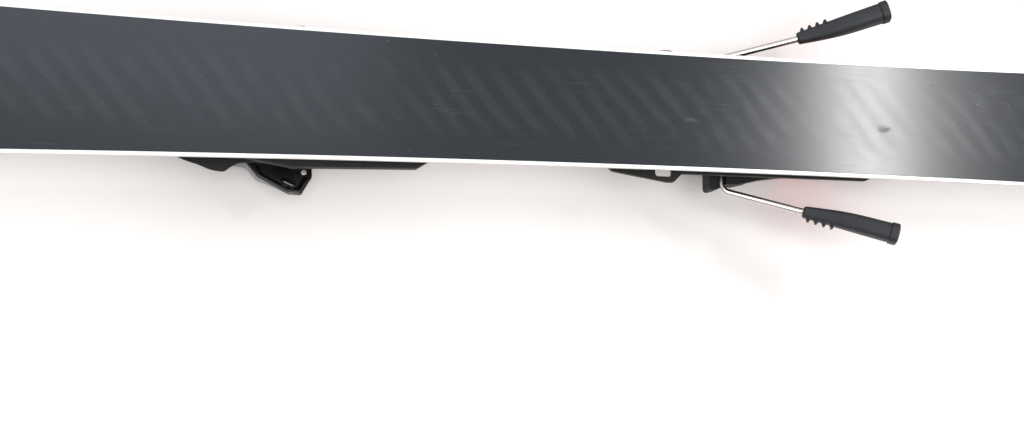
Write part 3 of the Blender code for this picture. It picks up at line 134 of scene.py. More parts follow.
def put_grid(name, grid, body, stands_for, sharp=40):
    """A closed grid of the standing ski, laid down and put into the scene as one piece."""
    return put(name, mesh_from_grid(name, lie_down(grid), sharp=sharp), body, stands_for)


# %% [markdown]
# The ski's outline is two circle arcs that meet at the waist, times a round nose and a blunt
# tail. Its side view is a long shallow arch, the camber, with the tip and tail bent up. The same
# few formulas give every layer its place.

# %% Outline and side view


def half_width(x):
    """Half the waist plus d squared over twice the sidecut radius, d being the distance from the
    waist, times a superellipse at the nose and a slight narrowing at the tail."""
    radius = np.where(x < WAIST_X, FRONT_SIDECUT, REAR_SIDECUT)
    width = WAIST_HALF + (x - WAIST_X) ** 2 / (2 * radius)
    nose = np.clip((TIP_END + NOSE_LENGTH - x) / NOSE_LENGTH, 0, NOSE_CLOSED)
    tail = np.clip((x - TAIL_END + TAIL_ROUNDING) / TAIL_ROUNDING, 0, 1)
    return width * (1 - nose**NOSE_POWER) ** (1 / NOSE_ROOT) * (1 - TAIL_NARROWING * tail**4)


def ease(share):
    """A smooth step, three times the square less twice the cube."""
    share = np.clip(share, 0, 1)
    return share * share * (3 - 2 * share)


def away_from_flat(x):
    """0 on the flat middle of the ski, easing to 1 at the front and rear contact points."""
    front = (FLAT_START - x) / (FLAT_START - FRONT_CONTACT)
    rear = (x - FLAT_STOP) / (REAR_CONTACT - FLAT_STOP)
    return ease(np.where(x < 0, front, rear))


def base_height(x):
    """Camber between the contact points, and a parabola up from each of them."""
    tip = np.clip(FRONT_CONTACT - x, 0, None) ** 2 / (2 * TIP_RADIUS)
    tail = np.clip(x - REAR_CONTACT, 0, None) ** 2 / (2 * TAIL_RADIUS)
    return tip + tail - CAMBER * away_from_flat(x)


def thickness(x):
    """From the full thickness in the middle to the thin ends."""
    return MID_THICKNESS + (END_THICKNESS - MID_THICKNESS) * away_from_flat(x)


def steepness(x):
    """How much longer a plumb line through the ski is than one square to it: sqrt(1 + slope squared)."""
    slope = (base_height(x + MM) - base_height(x - MM)) / (2 * MM)
    return np.sqrt(1 + slope * slope)


def side(x, height):
    """Half-width at a height: straight up the steel edge, then in along the sidewall at ten degrees."""
    lean = np.clip(height - EDGE_HEIGHT, 0, None) * math.tan(SIDEWALL_ANGLE)
    return half_width(x) - np.where(height > EDGE_HEIGHT, BOND, 0) - lean


print("width at the waist:", round(2 * half_width(WAIST_X) / MM, 1), "mm")

# %% [markdown]
# Every layer is made in one way: its cross-section's corners are carried from the tip to the tail.
# Each section below is a function of x, because the ski's width and thickness change along it.

# %% Ski layers
STATIONS = 420
LOWER_TOP = EDGE_HEIGHT + BOND + LAMINATE
UPPER_STACK = TOPSHEET + 2 * BOND + LAMINATE


def layer(name, section, nodes_for, start=TIP_JOINT, end=TAIL_JOINT, crowd=1):
    """A strip of the ski: section(x) gives y and the height above the base for each corner, carried
    along the ski. A crowd over 1 sets the stations closer together at the start."""
    along = start + (end - start) * np.linspace(0, 1, STATIONS) ** crowd
    lift = steepness(along)
    corners = [np.broadcast_arrays(y, z) for y, z in section(along)]
    lines = [np.stack([along, y, base_height(along) + z * lift], axis=-1) for y, z in corners]
    return put_grid(name, np.stack(lines, axis=1), "ski", nodes_for, sharp=20)


def base_section(x):
    """The base sheet between the steel edges, flat underneath."""
    half = half_width(x) - EDGE_WIDTH - BOND
    across = np.linspace(-1, 1, 13)
    under = [(half * share, 0) for share in across]
    return [*under, (half, BASE_THICKNESS), (-half, BASE_THICKNESS)]


def edge_section(sign):
    """A square steel bar whose outer lower corner is rounded a little by filing."""
    def section(x):
        outer = half_width(x)
        soft = 0.15 * MM
        corners = [(outer - EDGE_WIDTH, 0), (outer - soft, 0), (outer - soft / 3, soft / 3), (outer, soft),
                   (outer, EDGE_HEIGHT), (outer - EDGE_WIDTH, EDGE_HEIGHT)]
        return [(sign * y, z) for y, z in corners]
    return section


def sidewall_section(sign):
    """The plastic wall of one side, between the laminates, leaning in as it rises."""
    def section(x):
        low, high = LOWER_TOP + BOND, thickness(x) - UPPER_STACK - BOND
        inner = half_width(x) - SIDEWALL_WIDTH
        rise = [low + (high - low) * share for share in (0, 0.25, 0.5, 0.75, 1)]
        return [(sign * y, z) for y, z in [(inner, low), *[(side(x, z), z) for z in rise], (inner, high)]]
    return section


def topsheet_section(x):
    """A thin film whose upper corners are rounded by three points each."""
    high = thickness(x)
    low = high - TOPSHEET
    half = side(x, low)
    reach, cut = 0.35 * MM, 0.1 * MM
    round_off = [(half, low), (half, high - reach), (half - cut, high - cut), (half - reach, high)]
    across = [(half * share, high) for share in (0.6, 0.2, -0.2, -0.6)]
    return [*round_off, *across, *[(-y, z) for y, z in reversed(round_off)]]


def laminate_section(low):
    """A fibre sheet as wide as the ski is at the sheet's upper face; low(x) is its lower face."""
    def section(x):
        height = low(x)
        half = side(x, height + LAMINATE)
        return [(-half, height), (half, height), (half, height + LAMINATE), (-half, height + LAMINATE)]
    return section


base = layer("running_base", base_section, ["base_sheet"])
edges = [layer(f"edge_{word}", edge_section(sign), [f"steel_edge_{word}"]) for word, sign in SIDES]
walls = [layer(f"wall_{word}", sidewall_section(sign), [f"sidewall_{word}"]) for word, sign in SIDES]
top = layer("top_film", topsheet_section, ["topsheet"])
lower_lam = layer("fibre_below", laminate_section(lambda x: EDGE_HEIGHT + BOND + 0 * x), ["lower_laminate"])
upper_lam = layer("fibre_above", laminate_section(lambda x: thickness(x) - UPPER_STACK), ["upper_laminate"])
print("ski layers:", len(edges) + len(walls) + 4)

# %% [markdown]
# The tip and tail are solid plastic pieces as thick as the ski, with rounded rims, so that the
# ski can stand on its tail and the tip takes knocks.

# %% Tip and tail pieces
END_RIM = 1.6 * MM


def end_piece(name, start, end, nodes_for, crowd=1):
    """The full section of the ski; its rim runs round two quarter circles, one below and one above."""
    def section(x):
        half, high = half_width(x), thickness(x)
        rim = np.minimum(END_RIM, 0.8 * half)
        right = []
        for turn in np.radians(np.linspace(-90, 90, 13)):
            centre = high / 2 + (high / 2 - rim) * np.sign(math.sin(turn))
            right.append((half - rim + rim * math.cos(turn), centre + rim * math.sin(turn)))
        return [*right, *[(-y, z) for y, z in reversed(right)]]
    return layer(name, section, nodes_for, start, end, crowd)


tip = end_piece("tip_piece", TIP_END, TIP_JOINT - BOND, ["tip_protector"], crowd=2.2)
tail = end_piece("tail_piece", TAIL_JOINT + BOND, TAIL_END, ["tail_protector"])
print("tip and tail faces:", len(tip.data.polygons), len(tail.data.polygons))

# %% [markdown]
# Wires and springs are circles carried along a path. At each point of the path the circle
# stands square to the direction of travel. Turning one frame along the path, rather than
# building a new one at each point, keeps the tube from twisting.

# %% Tubes along a path


def unit(vectors):
    """The same directions with length one."""
    return vectors / np.linalg.norm(vectors, axis=-1, keepdims=True)


def turned(first, last, share):
    """Unit directions that turn evenly from a first one to a last one."""
    turn = np.arccos(np.clip((first * last).sum(-1, keepdims=True), -1, 1))
    return (first * np.sin((1 - share) * turn) + last * np.sin(share * turn)) / np.sin(turn)


def tube_grid(path, radius, sides=20):
    """Circles of one radius square to a path; the first direction across is carried along by projection."""
    ahead = unit(np.gradient(path, axis=0))
    across = np.zeros_like(path)
    guess = np.array([0.0, 0.0, 1.0]) if abs(ahead[0][2]) < 0.9 else np.array([1.0, 0.0, 0.0])
    for k, way in enumerate(ahead):
        guess = unit(guess - way * (guess @ way))
        across[k] = guess
    other = np.cross(ahead, across)
    angle = np.linspace(0, 2 * np.pi, sides, endpoint=False)
    ring = across[:, None] * np.cos(angle)[:, None] + other[:, None] * np.sin(angle)[:, None]
    return path[:, None] + ring * radius


def bend_path(points, radius, steps=12):
    """Straight runs joined by round bends: at each corner an arc of one radius touches both runs."""
    made = [points[0]]
    for before, corner, after in zip(points, points[1:], points[2:]):
        back, on = unit(before - corner), unit(after - corner)
        half = math.acos(np.clip(back @ on, -1, 1)) / 2
        centre = corner + unit(back + on) * radius / math.sin(half)
        first, last = (unit(corner + way * radius / math.tan(half) - centre) for way in (back, on))
        made.extend(centre + turned(first, last, share) * radius for share in np.linspace(0, 1, steps))
    made.append(points[-1])
    return np.array(made)


# %% [markdown]
# The brake is one steel wire, 4 mm thick, bent like a long hairpin. Each end carries a plastic
# grip that digs into the snow. The wire turns in a block under the boot's heel, and its closed end
# lies under a pedal.

# %% Brake wire
WIRE_RADIUS, WIRE_BEND, WIRE_IN_GRIP = 2.0 * MM, 6 * MM, 29.7 * MM
ARM_OUT, HAIRPIN_HALF, PEDAL_REACH = [0, 39.6 * MM, 0], [0, 19 * MM, 0], 36 * MM
GRIP_ROOT = np.array([232.8, 52.2, 19.8]) * MM
GRIP_TIP = np.array([282.7, 67.4, 1.0]) * MM
grip_length = np.linalg.norm(GRIP_TIP - GRIP_ROOT)
grip_along = unit(GRIP_TIP - GRIP_ROOT)
grip_out = unit(np.array([0, 1.0, 0]) - grip_along * grip_along[1])
grip_up = np.cross(grip_along, grip_out)
pivot = np.array([BRAKE_PIVOT[0], 0, BRAKE_PIVOT[1]])
crossbar = pivot + PEDAL_REACH * np.array([-math.cos(BRAKE_REST), 0, math.sin(BRAKE_REST)])
right_side = [
    GRIP_ROOT + grip_along * WIRE_IN_GRIP, GRIP_ROOT - grip_along * MM, pivot + ARM_OUT,
    pivot + HAIRPIN_HALF, crossbar + HAIRPIN_HALF,
]
left_side = [point * [1, -1, 1] for point in reversed(right_side)]
wire_path = bend_path([*right_side, *left_side], WIRE_BEND)
wire = put_grid("brake_wire_bent", tube_grid(wire_path, WIRE_RADIUS, 28), "brake", ["brake_wire"])
print(f"brake wire: {np.linalg.norm(np.diff(wire_path, axis=0), axis=1).sum():.3f} m long")

# %% [markdown]
# The grips are moulded: straight on the outer side, with four small teeth by the root, and
# bellied on the inner side. A cap with a raised rim closes the end. The cross-section is a
# superellipse, a rounded rectangle written as cosine and sine raised to a power under one.

# %% Grips
GRIP_TEETH, TOOTH_HEIGHT = (4.2, 8.9, 13.6, 18.3), 1.9
GRIP_SEAM, GRIP_CLOSING, GRIP_END = 50.2, 54.3, 55.5
SQUARENESS, END_ROUND = 0.6, 1.2


def tooth(s, at):
    """A small ramp that rises from the root side and drops off steeply."""
    rise = ease((s - at + 1.9) / 1.5)
    fall = ease((at + 1.1 - s) / 0.8)
    return rise * fall


def grip_grid(sign):
    """Sections at s millimetres from the root: half sizes outward, inward and up, each a formula of
    s, times the signed powers of cosine and sine. Both ends close by a part of a circle."""
    stations = [np.linspace(0, 22, 150), np.linspace(22, 49, 40), np.linspace(49, GRIP_END, 60)]
    s = np.unique(np.concatenate(stations))
    share = s / s[-1]
    outer = 3.3 + 1.9 * share
    inner = 3.3 + 2.9 * np.sin(np.clip(share / 0.62, 0, 1) * np.pi / 2)
    tall = 3.8 + 2.9 * ease(share / 0.7)
    cap = ease((s - GRIP_SEAM) / 0.5) * 0.5
    seam = -0.25 * np.exp(-(((s - GRIP_SEAM) / 0.22) ** 2))
    close = np.sqrt(1 - np.clip((s - GRIP_CLOSING) / END_ROUND, 0, 1) ** 2 * 0.55)
    start = np.sqrt(1 - np.clip((END_ROUND - s) / END_ROUND, 0, 1) ** 2 * 0.5)
    push = sum(TOOTH_HEIGHT * tooth(s, at) for at in GRIP_TEETH)
    angle = np.linspace(0, 2 * np.pi, 48, endpoint=False)
    cos = np.sign(np.cos(angle)) * np.abs(np.cos(angle)) ** SQUARENESS
    sin = np.sign(np.sin(angle)) * np.abs(np.sin(angle)) ** SQUARENESS
    wide = np.where(cos > 0, outer[:, None], inner[:, None]) + cap[:, None] + seam[:, None]
    high = (tall + cap + seam)[:, None]
    size = (close * start)[:, None]
    teeth = push[:, None] * ease((np.cos(angle) - 0.55) / 0.3)[None, :]
    across = ((cos * wide * size + teeth) * MM)[..., None]
    up = (sin * high * size * MM)[..., None]
    points = GRIP_ROOT + grip_along * (s * MM)[:, None, None] + grip_out * across + grip_up * up
    return points * [1, sign, 1]


grips = [put_grid(f"grip_{word}", grip_grid(sign), "brake", [f"brake_grip_{word}"], sharp=50)
         for word, sign in SIDES]
print(f"grips: {grip_length:.3f} m long,", len(grips[0].data.polygons), "faces each")

# %% [markdown]
# Springs are tubes along a helix: going once round, the path climbs by one pitch.

# %% Springs


def helix(centre, along, side_way, radius, length, turns, per_turn=40):
    """centre + along times the climb + a circle of the coil's radius."""
    other = np.cross(along, side_way)
    t = np.linspace(0, turns, turns * per_turn + 1)
    angle = 2 * np.pi * t
    climb = length * t / turns
    circle = side_way * np.cos(angle)[:, None] + other * np.sin(angle)[:, None]
    return centre + along * climb[:, None] + circle * radius


x_way, y_way = np.array([1.0, 0, 0]), np.array([0, 1.0, 0])
HEEL_TILT = math.radians(12)
heel_way = np.array([math.cos(HEEL_TILT), 0, math.sin(HEEL_TILT)])
heel_pin = np.array([HEEL_PIVOT[0], 0, HEEL_PIVOT[1]]) / MM
# node, body, start, way, way across, coil radius, wire radius, length, turns; lengths in mm
SPRINGS = (
    ("brake_spring", "heel_carriage", (194, -7.7, 30.8), y_way, x_way, 3.7, 0.8, 15.4, 5),
    ("toe_spring", "ski", (-129.6, 0, 46), x_way, y_way, 5.6, 1.0, 19.2, 5),
    ("heel_spring", "heel_piece", heel_pin + heel_way * 21.4, heel_way, y_way, 5.6, 1.0, 10.6, 4),
)
springs = []
for name, body, centre, along, side_way, radius, wire_radius, length, turns in SPRINGS:
    path = helix(np.array(centre) * MM, along, side_way, radius * MM, length * MM, turns)
    springs.append(put_grid(f"{name}_coil", tube_grid(path, wire_radius * MM, 12), body, [name]))
print("springs:", [s.name for s in springs])

# %% [markdown]
# The binding screws have wide flat heads with a cross recess. The head is a polar grid, radius
# by angle: the recess is where the point lies within either of two crossed bars, and its depth
# falls off towards the rim.

# %% Screws
# the cross, in shares of the head's radius
CROSS_HALF_WIDTH, CROSS_REACH, CROSS_DEPTH = 0.19, 0.59, 0.165


def screw_grid(x, y, top, bottom, head_height, head=4.55 * MM, shank=2.7 * MM):
    """A turned outline, from the middle of the head out, down the rim and to the tip, with a cross
    pressed in. The cross, the crown and the chamfer are in proportion to the head's radius."""
    inner = np.linspace(0.02, 1, 26) ** 0.8
    angle = np.linspace(0, 2 * np.pi, 96, endpoint=False)
    radius = np.concatenate([inner * head * 0.97, [head, head, shank, shank, 0.4 * MM]])
    crown = -0.026 * head * inner**4
    rim = [top - 0.055 * head, top - head_height, top - head_height, bottom + shank, bottom]
    height = np.concatenate([top + crown, rim])
    r, a = np.meshgrid(radius, angle, indexing="ij")
    px, py = r * np.cos(a), r * np.sin(a)
    pz = np.repeat(height[:, None], len(angle), axis=1)
    flat = slice(0, len(inner))
    narrow_x, narrow_y = (ease((CROSS_HALF_WIDTH - np.abs(p / head)) / 0.08) for p in (px, py))
    long_x, long_y = (ease((CROSS_REACH - np.abs(p / head)) / 0.2) for p in (px, py))
    dip = np.maximum(narrow_x * long_y, narrow_y * long_x)[flat]
    pz[flat] -= dip * CROSS_DEPTH * head
    return np.stack([x + px, y + py, pz], axis=-1)


# row, places along the ski, distance from its middle, top of the head, height of the head; in mm
SCREW_ROWS = (("toe", (-116, -3), 19, 19.0, 2.0), ("heel", (126, 252), 10, 16.0, 1.3))
SCREW_TIP = 6 * MM
screws = []
for word, xs, y_row, head_top, head_height in SCREW_ROWS:
    places = [(x, sign * y_row) for x in xs for sign in (1, -1)]
    for k, (x, y) in enumerate(places, 1):
        grid = screw_grid(x * MM, y * MM, head_top * MM, SCREW_TIP, head_height * MM)
        screws.append(put_grid(f"{word}_screw_turned_{k}", grid, "ski", [f"{word}_screw_{k}"], sharp=30))
WING_SCREW, WING_SCREW_FACE, WING_SCREW_LENGTH = (-55 * MM, 35.8 * MM), 40.6 * MM, 6.6 * MM
wing_screws = []
for word, sign in SIDES:
    grid = screw_grid(WING_SCREW[0], sign * WING_SCREW[1], 0, -WING_SCREW_LENGTH, MM, 1.5 * MM, 0.95 * MM)
    grid[..., 2] = WING_SCREW_FACE - grid[..., 2]
    name = f"wing_screw_turned_{word}"
    wing_screws.append(put_grid(name, grid, f"{word}_wing", [f"wing_screw_{word}"], sharp=30))
print("screws:", len(screws) + len(wing_screws))

# %% [markdown]
# Many moulded pieces are a flat outline with some thickness: a wing, a lever, the heel body. In a
# drawing their corners are arcs, and in a mould every rim is rounded too. So the outline keeps its
# outward directions, and each rim is a quarter circle: the outline moves in as it moves out of
# the mould. Holes and slots are cut with boxes and bars, as a mould's cores do it.

# %% Rounded outlines and slabs


def rounded_outline(corners, steps=7):
    """Points and outward directions of a closed outline; each (u, v, radius) corner becomes an arc
    that touches both sides. Its centre is on the bisector, radius / sin(half the angle) away."""
    corners = np.array(corners, float)
    place, radius = corners[:, :2], corners[:, 2:]
    back, on = unit(np.roll(place, 1, 0) - place), unit(np.roll(place, -1, 0) - place)
    half = np.arccos(np.clip((back * on).sum(1, keepdims=True), -1, 1)) / 2
    centre = place + unit(back + on) * radius / np.sin(half)
    around = np.sum(place[:, 0] * np.roll(place[:, 1], -1) - place[:, 1] * np.roll(place[:, 0], -1))
    right_of = lambda way: np.stack([way[:, 1], -way[:, 0]], axis=1) * np.sign(around)
    before, after = right_of(-back), right_of(on)
    out = turned(before[:, None], after[:, None], np.linspace(0, 1, steps + 1)[:, None])
    bulge = -np.sign((before * on).sum(1))[:, None, None]
    points = centre[:, None] + out * radius[:, None] * bulge
    return points.reshape(-1, 2), out.reshape(-1, 2)


def evenly(points, count):
    """Points of a closed outline set at equal distances along it."""
    closed = np.concatenate([points, points[:1]])
    way = np.concatenate([[0], np.cumsum(np.linalg.norm(np.diff(closed, axis=0), axis=1))])
    at = np.linspace(0, way[-1], count, endpoint=False)
    return np.stack([np.interp(at, way, closed[:, k]) for k in (0, 1)], axis=1)


def rim_levels(low, high, rim, steps=5):
    """Pairs of inset and height: a quarter circle at the low side, then one at the high side."""
    angle = np.linspace(0, np.pi / 2, steps + 1)
    start = [(rim * (1 - math.sin(a)), low + rim * (1 - math.cos(a))) for a in angle]
    return start + [(inset, low + high - height) for inset, height in reversed(start)]


def slab_grid(corners, rim, steps, half_at):
    """A side outline, in mm, across a width: half_at(x, z) gives the half-width in metres, and each
    flank's rim is a quarter circle that draws the outline in."""
    levels = rim_levels(0, 0, rim, steps)
    points, out = rounded_outline(np.array(corners) * MM)
    outline = np.stack([points - out * inset for inset, _ in levels])
    from_side = np.array([height for _, height in levels[:steps + 1]])
    from_side = np.concatenate([from_side, from_side[::-1]])[:, None]
    side_of = np.repeat([-1, 1], steps + 1)[:, None]
    x, z = outline[..., 0], outline[..., 1]
    return np.stack([x, side_of * (half_at(x, z) - from_side), z], axis=-1)


def box_cutter(x, y, z):
    """A box between two places on each axis, in mm."""
    points = np.array([(x[0], y[0]), (x[1], y[0]), (x[1], y[1]), (x[0], y[1])])
    return np.stack([np.column_stack([points, np.full(4, height)]) for height in z]) * MM


def rod_cutter(start, end, radius, sides=48):
    """A round bar between two points, in mm."""
    return tube_grid(np.array([start, end]) * MM, radius * MM, sides)


def carve(piece, grids, operation="DIFFERENCE"):
    """Cuts closed grids out of a piece, or joins them on, and keeps the result as its mesh."""
    tools = []
    for k, grid in enumerate(grids):
        tool = add_object(f"tool_{k}", mesh_from_grid(f"tool_{k}", lie_down(grid)))
        step = piece.modifiers.new(f"carve_{k}", "BOOLEAN")
        step.operation, step.solver, step.object = operation, "EXACT", tool
        tools.append(tool)
    shape = bpy.data.meshes.new_from_object(piece.evaluated_get(bpy.context.evaluated_depsgraph_get()))
    piece.modifiers.clear()
    shape.set_sharp_from_angle(angle=math.radians(32))
    piece.data = shape
    for tool in tools:
        bpy.data.objects.remove(tool)
    return piece


# %% [markdown]
# A toe wing is a short arm on a pin that holds the side of the boot's toe. Its hollow underside, which
# faces up here, saves plastic: a shallow dish with a raised moulding mark. Its outer side leans in
# toward the floor, so from above one sees its face and hardly any side.

# %% Toe wings
# Numbers in this cell and the next are in mm; a corner is its place from the pin and its radius.
WING_PIN, PIN_BORE = np.array([-92, 22]), 3.3
WING_LOW, WING_HIGH, WING_RIM, WING_LEAN = 41, 59, 0.75, 2.2
WING_OUTLINE = (
    (5.7, -18.4, 0.8), (6, -13, 1), (9, -5, 3), (15, 2, 3), (29, 8.8, 3), (37, 9.6, 3),
    (41.4, 10.6, 1.5), (41.6, 15.5, 2), (36.2, 24.8, 2.5), (28.5, 24.4, 4), (11.4, 16.8, 6),
    (5.2, 9.6, 3), (-5, 8.2, 5), (-8, 1, 4), (-5.5, -7.2, 4), (1.5, -10, 2), (2.5, -18, 0.8),
)
WING_HOLLOW = (
    (12.4, 15.6, 3), (28, 23.6, 3), (35, 24.2, 1.5), (39.7, 15.8, 1.5), (39.7, 12, 1), (30, 10.8, 3),
    (17, 5.6, 2), (8.6, 8.6, 2),
)
HOLLOW_MIDDLE, HOLLOW_DEPTH = np.array([26.0, 15.0]), 1.7
MARK_START, MARK_END = np.array([26.4, 18.9]), np.array([31.0, 20.9])
MARK_HALF_WIDTH, MARK_HEIGHT = 1.9, 1.2


def wing_grid(sign):
    """The wing's outline at rising levels. Only the outer side moves: 2.2 mm out at one face, and
    2.2 mm in at the other."""
    points, out = rounded_outline(WING_OUTLINE)
    outer = ease((points[:, 0] - 10) / 8) * np.clip(out[:, 1], 0, 1)
    rows = []
    for inset, height in rim_levels(WING_LOW, WING_HIGH, WING_RIM):
        share = (height - WING_LOW) / (WING_HIGH - WING_LOW)
        place = WING_PIN + points - out * inset
        place[:, 1] += outer * WING_LEAN * (1 - 2 * share)
        rows.append(np.column_stack([place * [1, sign], np.full(len(place), height)]))
    return np.stack(rows) * MM


def hollow_grid(sign):
    """A dish: depth eases in from its outline toward a middle, less a ridge along the moulding mark,
    height * sqrt(1 - (distance / half-width) squared)."""
    points = evenly(rounded_outline(WING_HOLLOW)[0], 200)
    share = np.linspace(0.02, 1, 50)[:, None, None]
    place = HOLLOW_MIDDLE + (points - HOLLOW_MIDDLE) * share
    depth = HOLLOW_DEPTH * ease((1 - share[..., 0]) / 0.22 + 0.12)
    along = MARK_END - MARK_START
    t = np.clip(((place - MARK_START) @ along) / (along @ along), 0, 1)
    away = np.linalg.norm(place - MARK_START - t[..., None] * along, axis=-1)
    ridge = MARK_HEIGHT * np.sqrt(np.clip(1 - (away / MARK_HALF_WIDTH) ** 2, 0, 1))
    top = np.full((1, len(points)), WING_LOW - 1)
    place = WING_PIN + np.concatenate([place, place[-1:], place[:1]])
    height = np.concatenate([WING_LOW + depth - ridge, top, top])
    return np.concatenate([place * [1, sign], height[..., None]], axis=-1) * MM


def pin_hole(sign, low, high):
    """The upright hole for a wing's pin."""
    x, y = WING_PIN * [1, sign]
    return rod_cutter((x, y, low), (x, y, high), PIN_BORE)


wings = []
for word, sign in SIDES:
    wing = put_grid(f"wing_moulded_{word}", wing_grid(sign), f"{word}_wing", [f"toe_wing_{word}"])
    wings.append(carve(wing, [hollow_grid(sign), pin_hole(sign, 30, 70)]))
print("wing faces:", [len(wing.data.polygons) for wing in wings])

# %% [markdown]
# The toe piece is one moulded shell. Its width and height change along the ski by a few measures,
# joined by a smooth curve that never swings past them, and each cross-section leans in as it rises.
# Then the slot for the wings, the boot's space and the bores are cut out.

# %% Toe shell
TOE_SHAPE = np.array([
    (-142, 17, 24), (-140, 20, 20), (-136, 23.5, 16), (-129, 28.8, 12), (-122, 34.2, 8.5),
    (-112, 37.6, 4.5), (-103, 40.6, 2), (-98.5, 41, 0.8), (-95, 38.6, 0.2), (-90, 36, 0), (-72, 34, 0),
    (-66, 32, 0.8), (-61, 29.5, 4),
])
TOE_ROUND = np.array([
    (0, 1), (0.1, 0.972), (0.3, 0.905), (0.5, 0.845), (0.7, 0.785), (0.82, 0.735), (0.92, 0.645),
    (0.975, 0.54), (1, 0.42),
])
SHELL_LOW, SHELL_ROUND = 19.6, 1.5
TOE_AXIS, SPRING_BORE, ROD_BORE = 46, 8.6, 2.9
SLOT, FAR, WINDOW = (40.5, 59.5), 60, (78.1, 81)


def flowing(known, values, at):
    """A cubic between known places whose slopes are the harmonic mean of the slopes on both sides."""
    rise = np.diff(values) / np.diff(known)
    same = rise[:-1] * rise[1:] > 0
    safe = np.where(same, rise[:-1] + rise[1:], 1)
    slope = np.concatenate([rise[:1], np.where(same, 2 * rise[:-1] * rise[1:] / safe, 0), rise[-1:]])
    k = np.clip(np.searchsorted(known, at, side="right") - 1, 0, len(known) - 2)
    wide = known[k + 1] - known[k]
    t = (at - known[k]) / wide
    return ((1 + 2 * t) * (1 - t) ** 2 * values[k] + t * (1 - t) ** 2 * wide * slope[k]
            + t * t * (3 - 2 * t) * values[k + 1] + t * t * (t - 1) * wide * slope[k + 1])


def toe_shell_grid():
    """Stations by points round a section: TOE_SHAPE gives half-width and distance from the floor at
    each station, TOE_ROUND the share of that width at each share of the height."""
    place, half, drop = TOE_SHAPE.T
    x = np.unique([*np.linspace(place[0], place[-1], 90), *(place[0] + np.array([0.1, 0.4, 1.0]))])
    half, top = flowing(place, half, x), REST_HEIGHT / MM - flowing(place, drop, x)
    share = np.concatenate([np.linspace(0, 0.8, 20), np.linspace(0.82, 1, 16)])
    wide = flowing(TOE_ROUND[:, 0], TOE_ROUND[:, 1], share)
    y = half[:, None] * np.concatenate([wide, -wide[::-1]])
    z = SHELL_LOW + (top - SHELL_LOW)[:, None] * np.concatenate([share, share[::-1]])
    from_end = np.minimum(x - x[0], x[-1] - x)[:, None]
    round_in = SHELL_ROUND * (1 - np.sqrt(1 - np.clip(1 - from_end / SHELL_ROUND, 0, 1) ** 2))
    middle = (top[:, None] + SHELL_LOW) / 2
    y = y - np.sign(y) * np.minimum(round_in, abs(y))
    z = np.where(z > middle, z - round_in, z)
    return np.stack([np.broadcast_to(x[:, None], y.shape), y, z], axis=-1) * MM


toe_shell = put_grid("toe_shell", toe_shell_grid(), "ski", ["toe_housing"])
carve(toe_shell, [
    box_cutter((-104, -74), (-FAR, FAR), SLOT),  # the slot that the wings turn in
    box_cutter((-70.5, 0), (-FAR, FAR), (0, 60)),  # the boot's toe
    box_cutter((-75, -68), (14, FAR), SLOT),  # the way out of each wing
    box_cutter((-75, -68), (-FAR, -14), SLOT),
    box_cutter((-85, -75), (-4, 4), WINDOW),  # the recess of the scale's window
    rod_cutter((-147, 0, TOE_AXIS), (-109, 0, TOE_AXIS), SPRING_BORE),
    rod_cutter((-112, 0, TOE_AXIS), (-100, 0, TOE_AXIS), ROD_BORE),
    *[pin_hole(sign, 29.7, 68.3) for _, sign in SIDES],
])
print("toe shell faces:", len(toe_shell.data.polygons))

# %% [markdown]
# The heel body swings on a pin behind the boot. It is drawn from the side, and its flanks lean in
# towards the top, so each point's half-width depends on its height. The hood over the cup, which
# the ski rests on here, is part of it.

# %% Heel body
HEEL_OUTLINE = (
    (242.8, 34, 1.6), (254, 34, 3), (264, 38, 8), (286, 44.5, 4), (290, 49, 3), (290, 65, 4),
    (282, 68, 6), (254, 71.5, 2), (252, 80, 2), (230, 80, 1.8), (230, 76.3, 1.6), (242.8, 76.3, 0.4),
)
HEEL_HALF, HEEL_LEAN, HEEL_RIM = 27.5 * MM, 0.19, 1.55 * MM
HEEL_FOOT, HEEL_BACK_NARROWING = 34 * MM, 5.5 * MM
HEEL_BACK_START, HEEL_BACK_LENGTH = 266 * MM, 26 * MM
LEVER_X, LEVER_Z, LEVER_BORE = 264, 67, 2.3
TOWER = ((-15, -30), (-15, 5), (-5, 9), (5, 9.5), (9, 6), (19, -9), (21, -30))
TOWER_HALF = 12.5


def heel_half(x, z):
    """27.5 mm less 0.19 of the height above the body's foot, and less toward the back."""
    back = ease((x - HEEL_BACK_START) / HEEL_BACK_LENGTH)
    return HEEL_HALF - HEEL_LEAN * np.clip(z - HEEL_FOOT, 0, None) - HEEL_BACK_NARROWING * back


def lever_hole(reach):
    """The hole for the lever's pin, across the ski."""
    return rod_cutter((LEVER_X, -reach, LEVER_Z), (LEVER_X, reach, LEVER_Z), LEVER_BORE)


heel_body = put_grid("heel_body", slab_grid(HEEL_OUTLINE, HEEL_RIM, 6, heel_half), "heel_piece",
                     ["heel_housing"])
tower_x, tower_z = np.array(TOWER).T + [[heel_pin[0]], [heel_pin[2]]]
carve(heel_body, [
    np.stack([np.column_stack([tower_x, np.full(7, y), tower_z]) for y in (-TOWER_HALF, TOWER_HALF)]) * MM,
    rod_cutter(heel_pin - y_way * 22.8, heel_pin + y_way * 22.8, PIN_BORE),
    rod_cutter(heel_pin + heel_way * 4, heel_pin + heel_way * 60, 8, 64),  # the spring's bore
    box_cutter((258.5, 270), (-TOWER_HALF, TOWER_HALF), (62.5, 76)),  # the slot of the lever's hub
    lever_hole(17.5),
    box_cutter((234, 246), (-4, 4), WINDOW),
])
print("heel body faces:", len(heel_body.data.polygons))

# %% [markdown]
# The lever over the back of the heel opens the binding when a ski pole pushes on it. The tip of the
# pole sits in a dimple at its end.

